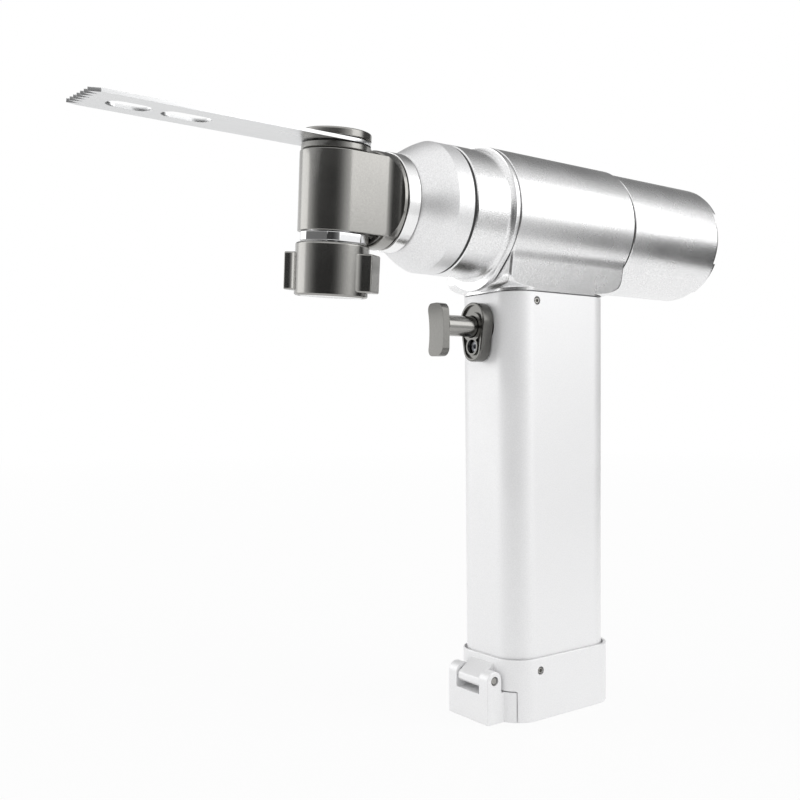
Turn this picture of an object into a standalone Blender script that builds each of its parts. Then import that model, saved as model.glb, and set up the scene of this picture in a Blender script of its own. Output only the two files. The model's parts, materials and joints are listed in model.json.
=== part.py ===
"""Battery oscillating saw for bone surgery, modelled as the pieces it comes apart into.

Pistol body: a rectangular handle tube that holds the battery, a saddle casting with the motor
barrel, a cone that carries the saw head, and a hinged battery door under the handle.
The world origin is under the middle of the handle, on the surface that the saw stands on.
-X is the blade's direction, +Z is up, and the barrel runs along X.
"""
import math

import bmesh
import bpy
from mathutils import Matrix, Vector

mm = 0.001

# Clearances
FIT = 0.3 * mm
RUNNING_GAP = 0.35 * mm

# Handle tube
HANDLE_LENGTH = 46.0 * mm
HANDLE_WIDTH = 30.9 * mm
HANDLE_CORNER = 9.1 * mm
HANDLE_WALL = 2.0 * mm
HANDLE_FOOT = 12.0 * mm
HANDLE_TOP = 142.3 * mm
HANDLE_HALF_X = HANDLE_LENGTH / 2
HANDLE_HALF_Y = HANDLE_WIDTH / 2
INNER_HALF_X = HANDLE_HALF_X - HANDLE_WALL
INNER_HALF_Y = HANDLE_HALF_Y - HANDLE_WALL
INNER_CORNER = HANDLE_CORNER - HANDLE_WALL

# Motor and drive line
MOTOR_START = 6.0 * mm
MOTOR_LENGTH = 60.0 * mm
MOTOR_WALL = 3.2 * mm
MOTOR_TAIL_ROOM = 11.0 * mm
STATOR_WALL = 2.6 * mm
ROTOR_GAP = 0.6 * mm
MOTOR_SHAFT_RADIUS = 2.5 * mm
DRIVE_SHAFT_RADIUS = 3.0 * mm
DRIVE_BEARING_RADIUS = 9.5 * mm
DRIVE_BEARING_WIDTH = 6.0 * mm
MOTOR_BEARING_RADIUS = 6.5 * mm
MOTOR_BEARING_WIDTH = 4.0 * mm
COUPLING_RADIUS = 7.0 * mm
COUPLING_LENGTH = 12.0 * mm
COUPLING_START = -18.0 * mm
SHAFT_JOINT = -12.2 * mm
COUNTERWEIGHT_RADIUS = 5.0 * mm

# Motor barrel. The saddle stands out past the handle in front and behind
BARREL_AXIS_Z = 167.6 * mm
SADDLE_RADIUS = 22.0 * mm
SADDLE_FRONT_OVERHANG = 2.1 * mm
SADDLE_REAR_OVERHANG = 4.6 * mm
SADDLE_FRONT = -HANDLE_HALF_X - SADDLE_FRONT_OVERHANG
SADDLE_REAR = HANDLE_HALF_X + SADDLE_REAR_OVERHANG
SADDLE_CORNER = 2.2 * mm
SADDLE_FILLET = 10.0 * mm
SADDLE_FLARE = 0.4 * mm
SADDLE_FRONT_UNDERCUT = 4.5 * mm
SADDLE_REAR_UNDERCUT = 5.3 * mm
SADDLE_LIP = 0.3 * mm
SPIGOT_DEPTH = 5.0 * mm
SPIGOT_WALL = 2.2 * mm
DUCT_TOP_DROP = 16.0 * mm
FRONT_SLEEVE_RADIUS = 20.4 * mm
FRONT_SLEEVE_START = -42.0 * mm
SLEEVE_WALL = 2.0 * mm
FLANGE_THICKNESS = 1.8 * mm
FLANGE_DROP_RADIUS = 15.9 * mm
FLANGE_LOW = 143.0 * mm
SLEEVE_JOINT = -4.8 * mm
REAR_SLEEVE_RADIUS = 21.4 * mm
REAR_SLEEVE_END = MOTOR_START + MOTOR_LENGTH + MOTOR_TAIL_ROOM
REAR_RIM_WALL = 0.9 * mm
REAR_RIM_DEPTH = 2.7 * mm
REAR_NOTCH_DEPTH = 2.3 * mm
REAR_NOTCH_ANGLE = 53.0
REAR_NOTCHES = 4
CAP_STAND_OUT = 0.3 * mm

# Nose
CONE_RING_END = -48.5 * mm
CONE_TIP = -58.4 * mm
CONE_TIP_RADIUS = 14.95 * mm
CONE_SHOULDER = 0.09
NOSE_RING_RADIUS = 14.9 * mm
NOSE_RING_START = -62.2 * mm
NOSE_RING_WALL = 1.0 * mm
HEAD_SPIGOT_RADIUS = 11.9 * mm
HEAD_SPIGOT_END = -55.0 * mm

# Saw head. Heights are above or below the barrel axis, before the head is swivelled
HEAD_SWIVEL = 6.0
HEAD_AXIS_X = -79.7 * mm
HEAD_RADIUS = 10.6 * mm
HEAD_TOP = 11.75 * mm
HEAD_BOTTOM = -11.1 * mm
HEAD_FLANGE_RADIUS = 14.6 * mm
HEAD_FLANGE_REAR = -63.3 * mm
HEAD_FLANGE_RIM = 1.1 * mm
HEAD_SHOULDER = 4.1 * mm
HEAD_FLARE = 4.0 * mm
HEAD_NECK_FRONT = -68.6 * mm
HEAD_NECK_ROUND = 1.4 * mm
HEAD_BORE = 8.4 * mm
HEAD_LIP = 1.2 * mm
HEAD_LIP_BORE = 6.6 * mm
HEAD_BEARING_WIDTH = 4.0 * mm
HEX_TOP = -11.4 * mm
HEX_HEIGHT = 2.5 * mm
HEX_ACROSS_FLATS = 19.36 * mm
HEX_ACROSS_CORNERS = 20.6 * mm

# Blade drive: an eccentric swings a fork on the head's spindle
BLADE_SWING = 2.5
FORK_REACH = 14.0 * mm
FORK_HEIGHT = 5.0 * mm
FORK_ARM = 2.0 * mm
FORK_HUB_RADIUS = 7.6 * mm
ECCENTRIC_BEARING_RADIUS = 4.0 * mm
ECCENTRIC_BEARING_WIDTH = 4.0 * mm
ECCENTRIC_PIN_RADIUS = 2.0 * mm
SPINDLE_RADIUS = 4.7 * mm
SPINDLE_BOTTOM = -13.9 * mm
DISC_RADIUS = 10.25 * mm
DISC_BOTTOM = 12.05 * mm
DISC_TOP = 13.9 * mm
INDEX_PIN_RADIUS = 0.9 * mm
INDEX_PIN_CIRCLE = 6.6 * mm
INDEX_PINS = 4

# Blade
BLADE_WIDTH = 20.2 * mm
BLADE_THICKNESS = 1.0 * mm
BLADE_REACH = 74.1 * mm
TOOTH_COUNT = 7
TOOTH_HEIGHT = 2.7 * mm
TOOTH_HOOK = 0.35
SLOT_WIDTH = 8.0 * mm
SLOT_ROUND = 3.6 * mm
SLOT_LENGTHS = (11.6 * mm, 13.4 * mm)
SLOT_BEHIND_TIPS = 7.0 * mm
SLOT_WEB = 2.9 * mm

# Clamp and knob
CAP_HEIGHT = 2.2 * mm
CAP_EDGE = 0.5 * mm
CLAMP_LIFT = 1.5 * mm
BOLT_RADIUS = 2.4 * mm
BOLT_HEAD_RADIUS = 4.2 * mm
BOLT_HEAD_HEIGHT = 1.2 * mm
SPRING_WIRE = 0.7 * mm
SPRING_TURNS = 4.0
SPRING_POCKET_TOP = -3.0 * mm
KNOB_RADIUS = 11.0 * mm
KNOB_TOP = -14.3 * mm
KNOB_BOTTOM = -29.75 * mm
KNOB_EDGE = 0.6 * mm
WING_REACH = 13.85 * mm
WING_THICKNESS = 8.0 * mm
WING_TOP = -17.0 * mm
WING_BOTTOM = -28.2 * mm
WING_FILLET = 3.0 * mm
WING_ANGLE = -52.0
END_PLATE_RADIUS = 9.6 * mm
END_PLATE_HEIGHT = 1.2 * mm

# Trigger
TRIGGER_AXIS_Z = 131.3 * mm
TRIGGER_TRAVEL = 6.5 * mm
GUIDE_STAND_OUT = 4.8 * mm
GUIDE_FRONT = -HANDLE_HALF_X - GUIDE_STAND_OUT
GUIDE_WIDTH = 12.3 * mm
GUIDE_TOP = 139.3 * mm
GUIDE_BOTTOM = 119.8 * mm
GUIDE_LOW_RADIUS = 4.6 * mm
GUIDE_LIP = 0.9 * mm
GUIDE_SINK = 0.8 * mm
GUIDE_BOSS = 1.2 * mm
GUIDE_SCREW_Z = 124.8 * mm
GUIDE_SCREW_RADIUS = 2.0 * mm
STEM_RADIUS = 3.4 * mm
PAD_STAND_OUT = 20.3 * mm
PAD_FRONT = -HANDLE_HALF_X - PAD_STAND_OUT
PAD_THICKNESS = 3.1 * mm
PAD_WIDTH = 7.6 * mm
PAD_TOP = 138.2 * mm
PAD_BOTTOM = 121.2 * mm
PAD_HOLLOW = 0.9 * mm

# Battery and control
CELL_LENGTH = 49.0 * mm
CELL_WALL = 1.2 * mm
PACK_GAP = 1.5 * mm
CELL_RADIUS = min((INNER_HALF_X - PACK_GAP - CELL_WALL - 2 * FIT) / 2,
                  INNER_HALF_Y - PACK_GAP - CELL_WALL - FIT)
BOARD_THICKNESS = 1.6 * mm
BULKHEAD_HEIGHT = 4.0 * mm
SWITCH_LENGTH = 10.0 * mm
SWITCH_WIDTH = 10.0 * mm
SWITCH_HEIGHT = 9.0 * mm
BOARD_X = 8.0 * mm
CHIP_HEIGHT = 1.5 * mm
CHIP_HALF_WIDTHS = (3.0 * mm, 4.0 * mm)
CHIP_PLACES = (-0.57, 0.33)

# Base collar and battery door
COLLAR_FRONT_WALL = 1.1 * mm
COLLAR_REAR_WALL = 1.8 * mm
COLLAR_SIDE_WALL = 1.05 * mm
COLLAR_FRONT = -HANDLE_HALF_X - COLLAR_FRONT_WALL
COLLAR_REAR = HANDLE_HALF_X + COLLAR_REAR_WALL
COLLAR_WIDTH = HANDLE_WIDTH + 2 * COLLAR_SIDE_WALL
COLLAR_CORNER = 9.6 * mm
COLLAR_TOP = 21.0 * mm
DOOR_PLATE = 4.0 * mm
PLATE_TONGUE = 8.0 * mm
BUMPER_DEPTH = 3.35 * mm
DOOR_SPLIT_X = COLLAR_FRONT + BUMPER_DEPTH
DOOR_SPLIT_Z = 10.5 * mm
DOOR_BLOCK_DEPTH = 6.6 * mm
DOOR_BLOCK_FRONT = COLLAR_FRONT - DOOR_BLOCK_DEPTH
DOOR_BLOCK_WIDTH = 20.8 * mm
HINGE_STAND_OUT = 3.5 * mm
HINGE_X = COLLAR_FRONT - HINGE_STAND_OUT
HINGE_Z = 14.5 * mm
HINGE_EAR_RADIUS = 3.1 * mm
HINGE_PIN_RADIUS = 1.25 * mm
KNUCKLE_WIDTH = 11.4 * mm
KNUCKLE_FLOOR = 9.8 * mm
KNUCKLE_CREST_Z = 19.5 * mm
SIDE_SCREW_FROM_CORNER = 1.3 * mm
SIDE_SCREW_X = -HANDLE_HALF_X + HANDLE_CORNER + SIDE_SCREW_FROM_CORNER
HANDLE_SCREW_Z = 139.4 * mm
COLLAR_SCREW_Z = 16.8 * mm
SIDE_SCREW_RADIUS = 1.1 * mm
SIDE_SCREW_SHANK = 0.8 * mm

# Facets
ROUND = 26
SMALL_ROUND = 14
HIDDEN_ROUND = 12
TINY_ROUND = 8

# Sizes that follow from those above
SADDLE_BORE = FRONT_SLEEVE_RADIUS + FIT
SLEEVE_BORE = FRONT_SLEEVE_RADIUS - SLEEVE_WALL
CAN_RADIUS = SLEEVE_BORE - RUNNING_GAP
STATOR_RADIUS = CAN_RADIUS - MOTOR_WALL - FIT
ROTOR_RADIUS = STATOR_RADIUS - STATOR_WALL - ROTOR_GAP
MOTOR_END = MOTOR_START + MOTOR_LENGTH
BLADE_BOTTOM = DISC_TOP + FIT
BLADE_TOP = BLADE_BOTTOM + BLADE_THICKNESS
CAP_BOTTOM = BLADE_TOP + FIT
CAP_TOP = CAP_BOTTOM + CAP_HEIGHT
ECCENTRICITY = FORK_REACH * math.sin(math.radians(BLADE_SWING))
ECCENTRIC_X = HEAD_AXIS_X + FORK_REACH
SWITCH_FRONT = BOARD_X - FIT - SWITCH_LENGTH
STEM_END = SWITCH_FRONT - FIT - TRIGGER_TRAVEL
COLLAR_MIDDLE_X = (COLLAR_FRONT + COLLAR_REAR) / 2
COLLAR_HALF_X = (COLLAR_REAR - COLLAR_FRONT) / 2
COLLAR_HALF_Y = COLLAR_WIDTH / 2


def clear_scene():
    """Remove whatever the file holds."""
    for item in list(bpy.data.objects):
        bpy.data.objects.remove(item, do_unlink=True)


def finish_material(name, colour, metallic, roughness):
    """A plain Principled finish, made once for each name."""
    if name in bpy.data.materials:
        return bpy.data.materials[name]
    finish = bpy.data.materials.new(name)
    finish.use_nodes = True
    shader = finish.node_tree.nodes["Principled BSDF"]
    shader.inputs["Base Color"].default_value = (*colour, 1.0)
    shader.inputs["Metallic"].default_value = metallic
    shader.inputs["Roughness"].default_value = roughness
    return finish


FINISHES = {
    "blasted_aluminium": ((0.78, 0.78, 0.79), 1.0, 0.36),
    "turned_aluminium": ((0.84, 0.84, 0.85), 1.0, 0.22),
    "gunmetal": ((0.36, 0.35, 0.33), 1.0, 0.34),
    "polished_steel": ((0.80, 0.80, 0.82), 1.0, 0.08),
    "blade_steel": ((0.72, 0.73, 0.74), 1.0, 0.25),
    "bearing_steel": ((0.62, 0.63, 0.65), 1.0, 0.20),
    "spring_steel": ((0.45, 0.45, 0.47), 1.0, 0.30),
    "motor_steel": ((0.30, 0.31, 0.33), 1.0, 0.40),
    "copper": ((0.72, 0.38, 0.20), 1.0, 0.30),
    "black_rubber": ((0.03, 0.03, 0.03), 0.0, 0.70),
    "grey_plastic": ((0.22, 0.23, 0.24), 0.0, 0.50),
    "board_green": ((0.04, 0.22, 0.10), 0.0, 0.45),
    "cell_wrap": ((0.10, 0.30, 0.52), 0.0, 0.35),
}


def axis_frame(name, place, turn=(0.0, 0.0, 0.0), parent=None):
    """An empty on a joint's axis, which carries the pieces that turn or slide there."""
    frame = bpy.data.objects.new(name, None)
    bpy.context.collection.objects.link(frame)
    frame.location = place
    frame.rotation_euler = turn
    frame.parent = parent
    return frame


def mesh_object(name, shape, parent=None):
    """Turn a bmesh into an object."""
    bmesh.ops.remove_doubles(shape, verts=shape.verts, dist=0.002 * mm)
    bmesh.ops.dissolve_degenerate(shape, edges=shape.edges, dist=0.002 * mm)
    bmesh.ops.recalc_face_normals(shape, faces=shape.faces)
    mesh = bpy.data.meshes.new(name)
    shape.to_mesh(mesh)
    shape.free()
    piece = bpy.data.objects.new(name, mesh)
    bpy.context.collection.objects.link(piece)
    piece.parent = parent
    return piece


def combine(piece, other_shape, operation):
    """Join or cut another closed shape, and keep the result as the piece's own mesh."""
    other = mesh_object(piece.name + "_tool", other_shape)
    other.hide_render = True
    other.display_type = "WIRE"
    held_parent = piece.parent
    piece.parent = None
    step = piece.modifiers.new("combine", "BOOLEAN")
    step.operation = operation
    step.solver = "EXACT"
    step.object = other
    bpy.context.view_layer.update()
    result = bpy.data.meshes.new_from_object(
        piece.evaluated_get(bpy.context.evaluated_depsgraph_get()))
    piece.modifiers.remove(step)
    piece.data = result
    piece.parent = held_parent
    bpy.data.objects.remove(other, do_unlink=True)


def taken_shape(piece):
    """The shape of a helper object, which is removed."""
    shape = bmesh.new()
    shape.from_mesh(piece.data)
    bpy.data.objects.remove(piece, do_unlink=True)
    return shape


def join(piece, *shapes):
    for shape in shapes:
        combine(piece, shape, "UNION")


def carve(piece, *shapes):
    for shape in shapes:
        combine(piece, shape, "DIFFERENCE")


def trim(piece, shape):
    combine(piece, shape, "INTERSECT")


def dress(piece, finish, sharp_angle=35.0):
    """Give a finished piece its material and its smooth shading."""
    piece.data.name = piece.name
    piece.data.materials.clear()
    piece.data.materials.append(finish_material(finish, *FINISHES[finish]))
    piece.data.shade_smooth()
    piece.data.set_sharp_from_angle(angle=math.radians(sharp_angle))
    return piece


def turned(profile, axis="X", segments=ROUND, centre=(0.0, 0.0, 0.0)):
    """Spin a closed profile of (place along the axis, radius) points about an axis."""
    shape = bmesh.new()
    if axis == "X":
        points = [Vector((along, 0.0, radius)) for along, radius in profile]
        direction = Vector((1.0, 0.0, 0.0))
    else:
        points = [Vector((radius, 0.0, along)) for along, radius in profile]
        direction = Vector((0.0, 0.0, 1.0))
    corners = [shape.verts.new(point) for point in points]
    edges = [shape.edges.new((corners[i - 1], corners[i])) for i in range(len(corners))]
    bmesh.ops.spin(shape, geom=corners + edges, cent=(0, 0, 0), axis=direction,
                   angle=2 * math.pi, steps=segments, use_merge=True)
    bmesh.ops.remove_doubles(shape, verts=shape.verts, dist=0.002 * mm)
    bmesh.ops.dissolve_degenerate(shape, edges=shape.edges, dist=0.002 * mm)
    bmesh.ops.recalc_face_normals(shape, faces=shape.faces)
    bmesh.ops.translate(shape, verts=shape.verts, vec=centre)
    return shape


def rod(start, end, radius, axis="X", segments=SMALL_ROUND, centre=(0.0, 0.0, 0.0)):
    """A plain round bar from start to end along X or Z, or along Y through a turned copy."""
    if axis == "Y":
        shape = turned([(start, 0), (start, radius), (end, radius), (end, 0)], "Z", segments)
        turn = Matrix.Rotation(math.radians(-90), 4, "X")
        bmesh.ops.transform(shape, matrix=turn, verts=shape.verts)
        bmesh.ops.translate(shape, verts=shape.verts, vec=centre)
        return shape
    return turned([(start, 0), (start, radius), (end, radius), (end, 0)], axis, segments, centre)


def tube(start, end, outer, inner, axis="X", segments=ROUND):
    """A round bush with square ends."""
    return turned([(start, inner), (start, outer), (end, outer), (end, inner)], axis, segments)


def arc(centre, radius, start, end, steps):
    """Points of a round stretch, angles in degrees."""
    points = []
    for i in range(steps + 1):
        angle = math.radians(start + (end - start) * i / steps)
        points.append((centre[0] + radius * math.cos(angle),
                       centre[1] + radius * math.sin(angle)))
    return points


def rounded_rectangle(half_x, half_y, corner, steps=5, middle_x=0.0):
    """Outline of a rectangle with round corners, counter-clockwise."""
    points = []
    for sx, sy, start in ((1, 1, 0), (-1, 1, 90), (-1, -1, 180), (1, -1, 270)):
        centre = (middle_x + sx * (half_x - corner), sy * (half_y - corner))
        points += arc(centre, corner, start, start + 90, steps)
    return points


def place_outline(outline, level, plane):
    """Lift a flat outline into space: XY at a height, XZ at a depth or YZ at a length."""
    if plane == "XY":
        return [Vector((a, b, level)) for a, b in outline]
    if plane == "XZ":
        return [Vector((a, level, b)) for a, b in outline]
    return [Vector((level, a, b)) for a, b in outline]


def loft(rings):
    """Join rings of equal point counts into one closed skin."""
    shape = bmesh.new()
    loops = [[shape.verts.new(point) for point in ring] for ring in rings]
    count = len(loops[0])
    for lower, upper in zip(loops, loops[1:]):
        for i in range(count):
            j = (i + 1) % count
            shape.faces.new((lower[i], lower[j], upper[j], upper[i]))
    shape.faces.new(list(reversed(loops[0])))
    shape.faces.new(loops[-1])
    bmesh.ops.remove_doubles(shape, verts=shape.verts, dist=0.002 * mm)
    bmesh.ops.recalc_face_normals(shape, faces=shape.faces)
    return shape


def prism(outline, low, high, plane="XY"):
    """Extrude a flat outline from one level to another."""
    return loft([place_outline(outline, low, plane), place_outline(outline, high, plane)])


def box(low, high):
    """A square block between two corners."""
    outline = [(low[0], low[1]), (high[0], low[1]), (high[0], high[1]), (low[0], high[1])]
    return prism(outline, low[2], high[2])


def bevelled_prism(outline_at, low, high, edge, plane="XY"):
    """An extrusion whose end edges are turned off; outline_at gives the outline for an inset."""
    rings = [place_outline(outline_at(edge), low, plane),
             place_outline(outline_at(0.0), low + edge, plane),
             place_outline(outline_at(0.0), high - edge, plane),
             place_outline(outline_at(edge), high, plane)]
    return loft(rings)


def on_barrel(shape):
    """Lift a shape that was turned about X up to the barrel's axis."""
    bmesh.ops.translate(shape, verts=shape.verts, vec=(0.0, 0.0, BARREL_AXIS_Z))
    return shape


def new_piece(name, shape, finish, parent=None, sharp_angle=35.0):
    return dress(mesh_object(name, shape, parent), finish, sharp_angle)


def side_hole(z, start_y, end_y, radius, segments=TINY_ROUND):
    """A round cutter or pin along Y at the side screws' place."""
    return rod(start_y, end_y, radius, "Y", segments, (SIDE_SCREW_X, 0.0, z))


# Handle

def make_handle_shell():
    """Rectangular tube with the trigger hole in front and a screw hole each side of its ends."""
    outer = rounded_rectangle(HANDLE_HALF_X, HANDLE_HALF_Y, HANDLE_CORNER)
    inner = rounded_rectangle(INNER_HALF_X, INNER_HALF_Y, INNER_CORNER)
    shell = mesh_object("handle_shell", prism(outer, HANDLE_FOOT, HANDLE_TOP))
    carve(shell, prism(inner, HANDLE_FOOT - mm, HANDLE_TOP + mm))
    trigger_hole = rod(-HANDLE_HALF_X - mm, -INNER_HALF_X + mm, guide_neck_radius() + FIT, "X",
                       SMALL_ROUND, (0.0, 0.0, TRIGGER_AXIS_Z))
    screw_hole = rod(-HANDLE_HALF_X - mm, -INNER_HALF_X + mm, GUIDE_SCREW_RADIUS * 0.5 + FIT, "X",
                     TINY_ROUND, (0.0, 0.0, GUIDE_SCREW_Z))
    carve(shell, trigger_hole, screw_hole)
    reach = HANDLE_HALF_Y + mm
    carve(shell, side_hole(HANDLE_SCREW_Z, -reach, reach, SIDE_SCREW_RADIUS + FIT),
          side_hole(COLLAR_SCREW_Z, -reach, reach, SIDE_SCREW_SHANK + FIT))
    return dress(shell, "blasted_aluminium")


def make_side_screws():
    """Four countersunk screws: two hold the handle to the saddle, two the collar to the handle."""
    for z, face, name in ((HANDLE_SCREW_Z, HANDLE_HALF_Y, "handle_screw"),
                          (COLLAR_SCREW_Z, COLLAR_HALF_Y, "collar_screw")):
        depth = HANDLE_WALL + SPIGOT_WALL if name == "handle_screw" else \
            COLLAR_HALF_Y - INNER_HALF_Y
        head = HANDLE_WALL * 0.8 if name == "handle_screw" else COLLAR_HALF_Y - HANDLE_HALF_Y
        for side, word in ((-1, "near"), (1, "far")):
            sunk = face - 0.1 * mm
            profile = [(sunk, 0.45 * mm), (sunk, SIDE_SCREW_RADIUS),
                       (sunk - head + 0.5 * mm, SIDE_SCREW_RADIUS),
                       (sunk - head + 0.3 * mm, SIDE_SCREW_SHANK),
                       (sunk - depth + FIT, SIDE_SCREW_SHANK), (sunk - depth + FIT, 0.0),
                       (sunk - 0.5 * mm, 0.0), (sunk - 0.5 * mm, 0.45 * mm)]
            shape = turned(profile, "Z", TINY_ROUND)
            turn = Matrix.Rotation(math.radians(90 if side < 0 else -90), 4, "X")
            bmesh.ops.transform(shape, matrix=turn, verts=shape.verts)
            bmesh.ops.translate(shape, verts=shape.verts, vec=(SIDE_SCREW_X, 0.0, z))
            new_piece(f"{name}_{word}", shape, "gunmetal")


# Saddle and barrel

def neck_fillet_start():
    """Height where the neck's flat side begins to flow out into the barrel."""
    reach = SADDLE_RADIUS + SADDLE_FILLET
    side = HANDLE_HALF_Y + SADDLE_FLARE + SADDLE_FILLET
    return BARREL_AXIS_Z - math.sqrt(reach ** 2 - side ** 2)


def neck_half_width(z):
    """Half width of the saddle's neck at a height; the fillet stops where it meets the barrel."""
    foot = HANDLE_TOP + FIT
    flare = SADDLE_FLARE * min(1.0, (z - foot) / (neck_fillet_start() - foot))
    rise = min(max(0.0, z - neck_fillet_start()), SADDLE_FILLET * 0.46)
    return HANDLE_HALF_Y + flare + SADDLE_FILLET - math.sqrt(SADDLE_FILLET ** 2 - rise ** 2)


def drawn_in(z, undercut, overhang):
    """Share of the way from the neck's end to the handle's, by the round under that end."""
    drop = max(0.0, HANDLE_TOP + FIT + SADDLE_LIP + undercut - z)
    depth = undercut - math.sqrt(max(0.0, undercut ** 2 - drop ** 2))
    return min(1.0, depth / overhang)


def neck_outline(z):
    """Neck's outline at a height: near-square corners that pass into the handle's at its foot."""
    width = neck_half_width(z)
    ends = ((SADDLE_REAR, 1, drawn_in(z, SADDLE_REAR_UNDERCUT, SADDLE_REAR_OVERHANG)),
            (SADDLE_FRONT, -1, drawn_in(z, SADDLE_FRONT_UNDERCUT, SADDLE_FRONT_OVERHANG)))
    points = []
    for end, way, share in ends:
        face = end + (way * HANDLE_HALF_X - end) * share
        corner = SADDLE_CORNER + (HANDLE_CORNER - SADDLE_CORNER) * share
        for side, start in ((-way, 270 if way > 0 else 90), (way, 0 if way > 0 else 180)):
            centre = (face - way * corner, side * (width - corner))
            points += arc(centre, corner, start, start + 90, 4)
    return points


def make_saddle_housing():
    """Cast saddle: barrel ring, neck down to the handle, and a hollow spigot inside the tube."""
    foot = HANDLE_TOP + FIT
    rings = []
    heights = [foot]
    heights += [foot + SADDLE_LIP + SADDLE_REAR_UNDERCUT * (1 - math.cos(math.radians(a)))
                for a in (8, 24, 38, 52, 68, 90)]
    heights += [neck_fillet_start() + SADDLE_FILLET * share for share in (0.0, 0.16, 0.32, 0.46)]
    heights += [BARREL_AXIS_Z - SADDLE_RADIUS * 0.45]
    for z in heights:
        rings.append(place_outline(neck_outline(z), z, "XY"))
    saddle = mesh_object("saddle_housing", loft(rings))
    join(saddle, on_barrel(rod(SADDLE_FRONT, SADDLE_REAR, SADDLE_RADIUS, segments=ROUND + 8)))
    spigot = rounded_rectangle(INNER_HALF_X - FIT, INNER_HALF_Y - FIT, INNER_CORNER - FIT)
    join(saddle, prism(spigot, HANDLE_TOP - SPIGOT_DEPTH, HANDLE_TOP + 2 * mm))
    carve(saddle, on_barrel(rod(SADDLE_FRONT - mm, SADDLE_REAR + mm, SADDLE_BORE,
                                segments=ROUND)))
    duct = rounded_rectangle(INNER_HALF_X - FIT - SPIGOT_WALL, INNER_HALF_Y - FIT - SPIGOT_WALL,
                             INNER_CORNER - SPIGOT_WALL)
    carve(saddle, prism(duct, HANDLE_TOP - SPIGOT_DEPTH - mm, BARREL_AXIS_Z - DUCT_TOP_DROP))
    reach = HANDLE_HALF_Y
    carve(saddle, side_hole(HANDLE_SCREW_Z, -reach, reach, SIDE_SCREW_SHANK + FIT))
    return dress(saddle, "blasted_aluminium")


def flange_outline(inset=0.0):
    """Drop-shaped flange: the barrel's circle and a smaller one below it, with straight sides."""
    upper = SADDLE_RADIUS - inset
    lower = FLANGE_DROP_RADIUS - inset
    lower_z = FLANGE_LOW + FLANGE_DROP_RADIUS
    slope = math.degrees(math.asin((upper - lower) / (BARREL_AXIS_Z - lower_z)))
    points = arc((0.0, BARREL_AXIS_Z), upper, -slope, 180 + slope, 20)
    points += arc((0.0, lower_z), lower, 180 + slope, 360 - slope, 8)
    return points


def make_front_sleeve():
    """Front half of the motor tube, with the drop-shaped flange that seats on the saddle."""
    flange_face = SADDLE_FRONT - FIT
    flange_back = flange_face - FLANGE_THICKNESS
    flare = SADDLE_RADIUS - FRONT_SLEEVE_RADIUS
    profile = [(FRONT_SLEEVE_START, SLEEVE_BORE)]
    profile += [(FRONT_SLEEVE_START, FRONT_SLEEVE_RADIUS - 0.3 * mm),
                (FRONT_SLEEVE_START + 0.3 * mm, FRONT_SLEEVE_RADIUS)]
    centre = (flange_back - flare, FRONT_SLEEVE_RADIUS + flare)
    profile += arc(centre, flare, -90, 0, 3)
    profile += [(flange_back + mm, SADDLE_RADIUS - 0.2 * mm),
                (flange_back + mm, FRONT_SLEEVE_RADIUS), (SLEEVE_JOINT, FRONT_SLEEVE_RADIUS),
                (SLEEVE_JOINT, SLEEVE_BORE)]
    sleeve = mesh_object("front_sleeve", on_barrel(turned(profile)))
    flange = loft([place_outline(flange_outline(0.4 * mm), flange_back, "YZ"),
                   place_outline(flange_outline(), flange_back + 0.4 * mm, "YZ"),
                   place_outline(flange_outline(), flange_face, "YZ")])
    join(sleeve, flange)
    carve(sleeve, on_barrel(rod(flange_back - mm, flange_face + mm, SLEEVE_BORE, segments=ROUND)))
    return dress(sleeve, "blasted_aluminium")


def make_rear_sleeve():
    """Rear half of the motor tube; four wide notches in its end show the cap's rim."""
    rim_bore = REAR_SLEEVE_RADIUS - REAR_RIM_WALL
    rim_start = REAR_SLEEVE_END - REAR_RIM_DEPTH
    shoulder = SADDLE_REAR + FIT
    profile = [(SLEEVE_JOINT + FIT, SLEEVE_BORE), (SLEEVE_JOINT + FIT, FRONT_SLEEVE_RADIUS),
               (shoulder, FRONT_SLEEVE_RADIUS), (shoulder, REAR_SLEEVE_RADIUS - 0.2 * mm),
               (shoulder + 0.2 * mm, REAR_SLEEVE_RADIUS),
               (REAR_SLEEVE_END - 0.3 * mm, REAR_SLEEVE_RADIUS),
               (REAR_SLEEVE_END, REAR_SLEEVE_RADIUS - 0.3 * mm), (REAR_SLEEVE_END, rim_bore),
               (rim_start, rim_bore), (rim_start, SLEEVE_BORE)]
    sleeve = mesh_object("rear_sleeve", on_barrel(turned(profile)))
    half = math.radians(REAR_NOTCH_ANGLE / 2)
    inner = rim_bore - mm
    outer = REAR_SLEEVE_RADIUS + mm
    for i in range(REAR_NOTCHES):
        middle = 2 * math.pi * i / REAR_NOTCHES
        outline = []
        for radius, turn in ((inner, half), (outer, half), (outer * 1.15, 0.0), (outer, -half),
                             (inner, -half), (inner, 0.0)):
            outline.append((radius * math.cos(middle + turn), radius * math.sin(middle + turn)))
        carve(sleeve, on_barrel(prism(outline, REAR_SLEEVE_END - REAR_NOTCH_DEPTH,
                                      REAR_SLEEVE_END + mm, "YZ")))
    return dress(sleeve, "blasted_aluminium")


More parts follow.
